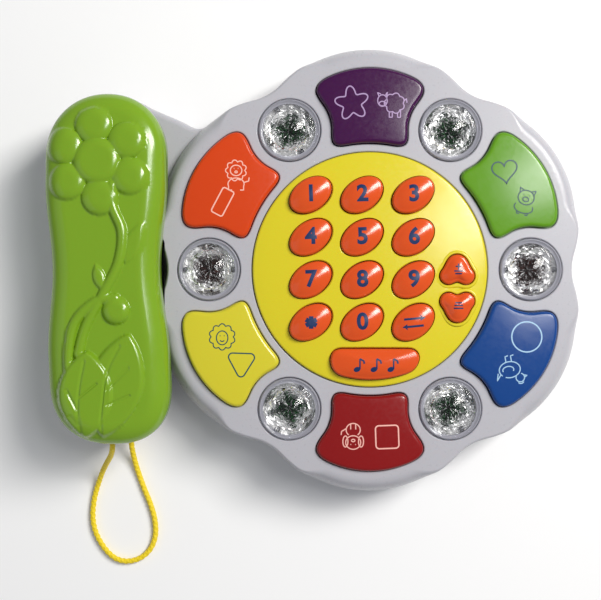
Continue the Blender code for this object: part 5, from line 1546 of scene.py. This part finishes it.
class TOYPHONE_OT_handset(bpy.types.Operator):
    """Builds the handset's two shells, the upper one with its moulded flower"""

    bl_idname = "toyphone.handset"
    bl_label = "Handset"

    def execute(self, context):
        green = moulded_abs("moulded_abs_lime", colours().handset, 0.16, 0.03)
        self.front(green)
        self.back(green)
        for side, name in ((1, "ear"), (-1, "mouth")):
            self.grille(green, side, name)
        return {"FINISHED"}

    def front(self, green):
        seam = HANDSET_SEAM_Z + SEAM / 2
        wall_top = HANDSET_SEAM_Z + 4.5 * MM
        loop, spine = handset_loop(150, 150)
        outline, hubs = np.array(loop), np.array(spine)
        reach = np.hypot(*(outline - hubs).T)[:, None]
        unit = (outline - hubs) / reach
        shoulder = 9.0 * MM
        layers = []
        inner_levels = [(9.4, HANDSET_CROWN_Z - 2.6 * MM), (5.6, HANDSET_CROWN_Z - 4.4 * MM),
                        (2.2, wall_top), (2.2, seam)]
        for distance, z in inner_levels:
            points = outline - unit * distance * MM
            layers.append([(px + HANDSET_X, py, z) for px, py in points])
        for z in (seam, (seam + wall_top) / 2, wall_top):
            layers.append([(px + HANDSET_X, py, z) for px, py in outline])
        rise = HANDSET_CROWN_Z - wall_top
        steps = 16
        for i in range(1, steps + 1):
            bend = math.pi / 2 * i / steps
            distance, up = shoulder * (1 - math.cos(bend)), rise * math.sin(bend) ** 0.9
            points = outline - unit * distance
            layers.append(self.lifted(points, wall_top + up, distance))
        inward = 46
        for i in range(1, inward):
            share = 1 - i / inward
            points = hubs + unit * (reach - shoulder) * share
            layers.append(self.lifted(points, HANDSET_CROWN_Z, shoulder))
        bm = bmesh.new()
        rows = [[bm.verts.new(p) for p in layer] for layer in layers]
        count = len(loop)
        for low, high in zip(rows, rows[1:]):
            for i in range(count):
                j = (i + 1) % count
                bm.faces.new((low[i], low[j], high[j], high[i]))
        self.close_spine(bm, rows[-1], spine)
        bmesh.ops.contextual_create(bm, geom=rows[0])
        bmesh.ops.recalc_face_normals(bm, faces=bm.faces)
        piece = new_object("handset_top", bm)
        finish_piece(piece, green, "handset", ["handset_front_shell"], sharp=60)

    def lifted(self, points, z, distance):
        """A ring of the top, raised by the relief, which fades out at the outline."""
        height = relief_height(points[:, 0] / MM, points[:, 1] / MM) * sizes().relief
        fade = min(distance / (2.4 * MM), 1.0)
        return [(x + HANDSET_X, y, z + h * fade) for (x, y), h in zip(points, height)]

    def close_spine(self, bm, row, spine):
        """Joins the two sides of the innermost ring along the handset's spine."""
        middle = {}
        hubs = []
        for v, (x, y) in zip(row, spine):
            key = round(y / MM, 4)
            if key not in middle:
                height = relief_height(np.array([x / MM]), np.array([y / MM]))[0]
                z = HANDSET_CROWN_Z + float(height) * sizes().relief
                middle[key] = bm.verts.new((x + HANDSET_X, y, z))
            hubs.append(middle[key])
        count = len(row)
        for i in range(count):
            j = (i + 1) % count
            if hubs[i] is hubs[j]:
                bm.faces.new((row[i], row[j], hubs[i]))
            else:
                bm.faces.new((row[i], row[j], hubs[j], hubs[i]))

    def back(self, green):
        seam = HANDSET_SEAM_Z - SEAM / 2
        loop, _ = handset_loop(60, 60)
        sides = [
            (0, 35.85), (0.3, 33.6), (1.1, 31.3), (2.3, 29.2),
            (3.8, 27.2), (5.3, 25.6), (6.8, 24.5), (8.6, 24.0),
        ]
        rings = [(inset(loop, 9.0 * MM), HANDSET_UNDER_Z + SKIN), (inset(loop, 4.4 * MM), 29.8 * MM),
                 (inset(loop, SKIN), seam)]
        rings += [(inset(loop, d * MM), z * MM) for d, z in sides]
        rings = [(shift(ring, HANDSET_X, 0), z) for ring, z in rings]
        pads = bmesh.new()
        foot = DECK_Z - PAD_DEPTH + SEAM
        for side in (-1, 1):
            edge = [(0, 0), (13.2, 0), (14.2, 0.2), (14.8, 0.8), (15.0, 1.6)]
            profile = [(r * MM, foot + z * MM) for r, z in edge]
            profile.append((PAD_RADIUS, HANDSET_UNDER_Z + SKIN / 2))
            lathe(profile, 96, pads, (HANDSET_X, side * PAD_Y))
        wells = bmesh.new()
        for side in (-1, 1):
            lathe([(2.8 * MM, foot - 1 * MM), (2.8 * MM, 25.6 * MM)], 40, wells, (HANDSET_X, side * PAD_Y))
            for i in range(12):
                a = TAU * i / 12
                place = (HANDSET_X + 7.4 * MM * math.cos(a), side * PAD_Y + 7.4 * MM * math.sin(a))
                lathe([(0.9 * MM, foot - 1 * MM), (0.9 * MM, foot + 1.4 * MM)], 20, wells, place)
        hole = cord_hole(CORD_ROUTE[0], 2)
        piece = carve(new_object("handset_underside", loft(rings)), [
            ("UNION", pads), ("DIFFERENCE", wells), ("DIFFERENCE", hole)])
        finish_piece(piece, green, "handset", ["handset_back_shell"], sharp=40)

    def grille(self, green, side, name):
        """A raised ring round the sound holes of the ear or mouth pad."""
        foot = DECK_Z - PAD_DEPTH + SEAM
        bm = bmesh.new()
        rows = []
        for i in range(96):
            a = TAU * i / 96
            row = []
            for k in range(10):
                b = TAU * k / 10
                r = 10.6 * MM + 0.5 * MM * math.cos(b)
                row.append(bm.verts.new((HANDSET_X + r * math.cos(a), side * PAD_Y + r * math.sin(a),
                                         foot + 0.1 * MM + 0.35 * MM * math.sin(b))))
            rows.append(row)
        for i in range(96):
            for k in range(10):
                a, b = rows[i], rows[(i + 1) % 96]
                bm.faces.new((a[k], b[k], b[(k + 1) % 10], a[(k + 1) % 10]))
        bmesh.ops.recalc_face_normals(bm, faces=bm.faces)
        finish_piece(new_object(f"handset_{name}_ring", bm), green, "handset", sharp=60)


# ---------------------------------------------------------------- underside and inside


def cross_head(place, length, head_height):
    """A cross-head screw with its head down."""
    head = [(0, 1), (1.2, 1), (1.9, 0.85), (2.3, 0.5), (2.4, 0)]
    profile = [(r, -head_height * share) for r, share in head]
    profile += [(1.1, 0.01), (1.1, length - 1.5), (0.3, length)]
    screw = new_object("screw", lathe([(r * MM, z * MM) for r, z in profile], 40))
    slot = round_box(2.6 * MM, 0.6 * MM, 0.1 * MM)
    low, high = (-head_height - 1) * MM, (-head_height + 0.8) * MM
    carve(screw, [("DIFFERENCE", prism(turn(slot, angle), low, high)) for angle in (0, math.pi / 2)])
    screw.location = place
    return screw


class TOYPHONE_OT_underside(bpy.types.Operator):
    """Builds the battery door, the screws and the switch knob"""

    bl_idname = "toyphone.underside"
    bl_label = "Underside"

    def execute(self, context):
        steel = plain("zinc_plated_steel", "#C4C6CA", 0.28, 1.0, 0.4, 0.05)
        screws = [(f"base_screw_{i}", "base", 1.8) for i in range(1, 5)]
        screws += [(f"handset_screw_{i}", "handset", 1.8) for i in (1, 2)]
        screws.append(("battery_door_screw", "battery_door", 0.8))
        for name, body, head in screws:
            lo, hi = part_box(name)
            place = ((lo.x + hi.x) / 2, (lo.y + hi.y) / 2, lo.z + head * MM)
            piece = cross_head(place, (hi.z - lo.z) / MM - head, head)
            piece.name = name + "_fine"
            finish_piece(piece, steel, body, [name], sharp=35)
        self.door()
        self.knob()
        return {"FINISHED"}

    def door(self):
        lo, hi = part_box("battery_door")
        width, length = hi.x - lo.x, hi.y - lo.y - DOOR_TAB
        x, y = (lo.x + hi.x) / 2, (lo.y + hi.y - DOOR_TAB) / 2
        rings = []
        for across, z in [(0.5, 0.0), (0.15, 0.15), (0.0, 0.5), (0.0, 1.8)]:
            ring = round_box(width - 2 * across * MM, length - 2 * across * MM, 0.8 * MM)
            rings.append((shift(ring, x, y), lo.z + z * MM))
        plan = round_box(9.0 * MM, 2 * DOOR_TAB - 0.4 * MM, 0.8 * MM)
        tongue = prism(shift(plan, x, hi.y - DOOR_TAB), lo.z, hi.z)
        screw_lo, screw_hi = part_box("battery_door_screw")
        hole_place = ((screw_lo.x + screw_hi.x) / 2, (screw_lo.y + screw_hi.y) / 2)
        hole = lathe([(2.8 * MM, -1 * MM), (2.8 * MM, 1.2 * MM), (1.7 * MM, 1.2 * MM), (1.7 * MM, 4 * MM)],
                     40, None, hole_place)
        ribs = bmesh.new()
        for i in range(7):
            bar = round_box(14 * MM, 1.0 * MM, 0.45 * MM)
            prism(shift(bar, x, lo.y + 6 * MM + i * 2.2 * MM), -1 * MM, lo.z + 0.5 * MM, ribs)
        piece = carve(new_object("battery_door_fine", loft(rings)), [
            ("UNION", tongue), ("DIFFERENCE", hole), ("DIFFERENCE", ribs)])
        white = moulded_abs("moulded_abs_white_tray", colours().tray, 0.34)
        finish_piece(piece, white, "battery_door", ["battery_door"], sharp=35)

    def knob(self):
        lo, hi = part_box("power_switch_knob")
        x, y = (lo.x + hi.x) / 2, (lo.y + hi.y) / 2
        width, depth = hi.x - lo.x, hi.y - lo.y
        foot = round_box(width - 0.6 * MM, depth - 0.6 * MM, 0.4 * MM)
        cap, stem = round_box(width, depth, 0.6 * MM), round_box(3.0 * MM, 2.6 * MM, 0.3 * MM)
        levels = ((foot, lo.z), (cap, lo.z + 0.3 * MM), (cap, 2.5 * MM), (stem, 2.5 * MM), (stem, hi.z))
        rings = [(shift(plan, x, y), z) for plan, z in levels]
        ribs = bmesh.new()
        bar = round_box(0.6 * MM, depth + 2 * MM, 0.2 * MM)
        for i in (-1, 0, 1):
            prism(shift(bar, x + i * 1.7 * MM, y), -1 * MM, lo.z + 0.5 * MM, ribs)
        piece = carve(new_object("power_switch_knob_fine", loft(rings)), [("DIFFERENCE", ribs)])
        black = plain("moulded_abs_black", "#161616", 0.42)
        finish_piece(piece, black, "power_switch_knob", ["power_switch_knob"], sharp=35)


class TOYPHONE_OT_inside(bpy.types.Operator):
    """Gives the hidden CAD pieces their finishes"""

    bl_idname = "toyphone.inside"
    bl_label = "Inside"

    def execute(self, context):
        finishes = {
            plain("glass_epoxy_board_green", "#1D5A33", 0.35, 0.0, 1.5, 0.2): ["circuit_board"],
            plain("silicone_rubber_grey", "#C2C4C8", 0.6): ["keypad_membrane", "petal_membrane"],
            plain("pressed_paper_cone", "#24221F", 0.8, 0.0, 0.8, 0.4): ["speaker"],
            plain("printed_battery_wrap", "#20242A", 0.32): ["battery_1", "battery_2", "battery_3"],
            plain("nickel_plated_spring_steel", "#BDBDB8", 0.25, 1.0): [
                "battery_contact_left", "battery_contact_right", "power_switch_body"],
            bpy.data.materials["braided_polyester_yellow"]: ["cord_knot_handset", "cord_knot_base"],
        }
        for material, names in finishes.items():
            for name in names:
                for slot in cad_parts[name].material_slots:
                    slot.material = material
        return {"FINISHED"}


# ---------------------------------------------------------------- stage


def panel_light(name, place, target, size, power, tint="#FFFFFF"):
    """A rectangular soft light that faces a point."""
    light = bpy.data.lights.new(name, "AREA")
    light.shape = "RECTANGLE"
    light.size, light.size_y = size
    light.energy = power
    light.color = to_linear(tint)
    holder = bpy.data.objects.new(name, light)
    holder.location = place
    facing = Vector(target) - Vector(place)
    holder.rotation_euler = facing.to_track_quat("-Z", "Y").to_euler()
    bpy.context.scene.collection.objects.link(holder)


class TOYPHONE_OT_stage(bpy.types.Operator):
    """Sets the floor, the soft studio light and the camera"""

    bl_idname = "toyphone.stage"
    bl_label = "Stage"

    def execute(self, context):
        scene = context.scene
        floor = new_object("floor", prism(circle(3.0, 128), -20 * MM, -0.1 * MM))
        floor.data.materials.append(plain("matt_white_paper", "#F4F4F5", 0.9, 0.0, 0.8, 0.02))
        world = bpy.data.worlds.new("soft_room")
        world.use_nodes = True
        background = world.node_tree.nodes["Background"]
        background.inputs["Color"].default_value = (*to_linear("#F3F5FA"), 1.0)
        background.inputs["Strength"].default_value = 0.28
        scene.world = world
        target = (-20 * MM, -10 * MM, 20 * MM)
        panel_light("window", (0.62, 0.42, 0.95), target, (0.34, 0.5), 13.5, "#FFFDF8")
        panel_light("ceiling", (0.42, 0.20, 1.25), target, (0.22, 0.3), 2.6)
        panel_light("left_fill", (-0.9, -0.3, 0.9), target, (0.9, 0.9), 1.0, "#F2F6FF")
        camera = bpy.data.cameras.new("camera")
        camera.sensor_width = SENSOR_WIDTH
        camera.lens = SENSOR_WIDTH * (CAMERA_PLACE[2] - TOP_Z) / VIEW_WIDTH
        camera.clip_start = 10 * MM
        eye = bpy.data.objects.new("camera", camera)
        eye.location = CAMERA_PLACE
        scene.collection.objects.link(eye)
        scene.camera = eye
        scene.view_settings.view_transform = "Standard"
        return {"FINISHED"}


ORDER = (
    TOYPHONE_OT_stage, TOYPHONE_OT_cord, TOYPHONE_OT_upper_shell, TOYPHONE_OT_lower_shell,
    TOYPHONE_OT_keypad_plate, TOYPHONE_OT_keys, TOYPHONE_OT_petal_buttons, TOYPHONE_OT_jewels,
    TOYPHONE_OT_handset, TOYPHONE_OT_underside, TOYPHONE_OT_inside,
)


class TOYPHONE_PT_panel(bpy.types.Panel):
    """Lists the sizes, the colours and the steps of the toy telephone"""

    bl_idname = "TOYPHONE_PT_panel"
    bl_label = "Flower Toy Telephone"
    bl_space_type = "VIEW_3D"
    bl_region_type = "UI"
    bl_category = "Toy Phone"

    def draw(self, context):
        for group in (context.scene.toy_phone_sizes, context.scene.toy_phone_colours):
            box = self.layout.box()
            for name in group.__annotations__:
                box.prop(group, name)
        column = self.layout.column(align=True)
        for step in ORDER:
            column.operator(step.bl_idname)


CLASSES = (ToyPhoneSizes, ToyPhoneColours, *ORDER, TOYPHONE_PT_panel)


def register():
    for cls in CLASSES:
        bpy.utils.register_class(cls)
    bpy.types.Scene.toy_phone_sizes = bpy.props.PointerProperty(type=ToyPhoneSizes)
    bpy.types.Scene.toy_phone_colours = bpy.props.PointerProperty(type=ToyPhoneColours)


def unregister():
    del bpy.types.Scene.toy_phone_sizes
    del bpy.types.Scene.toy_phone_colours
    for cls in reversed(CLASSES):
        bpy.utils.unregister_class(cls)


def main():
    register()
    for step in ORDER:
        group, name = step.bl_idname.split(".")
        getattr(getattr(bpy.ops, group), name)()


if __name__ == "__main__":
    main()
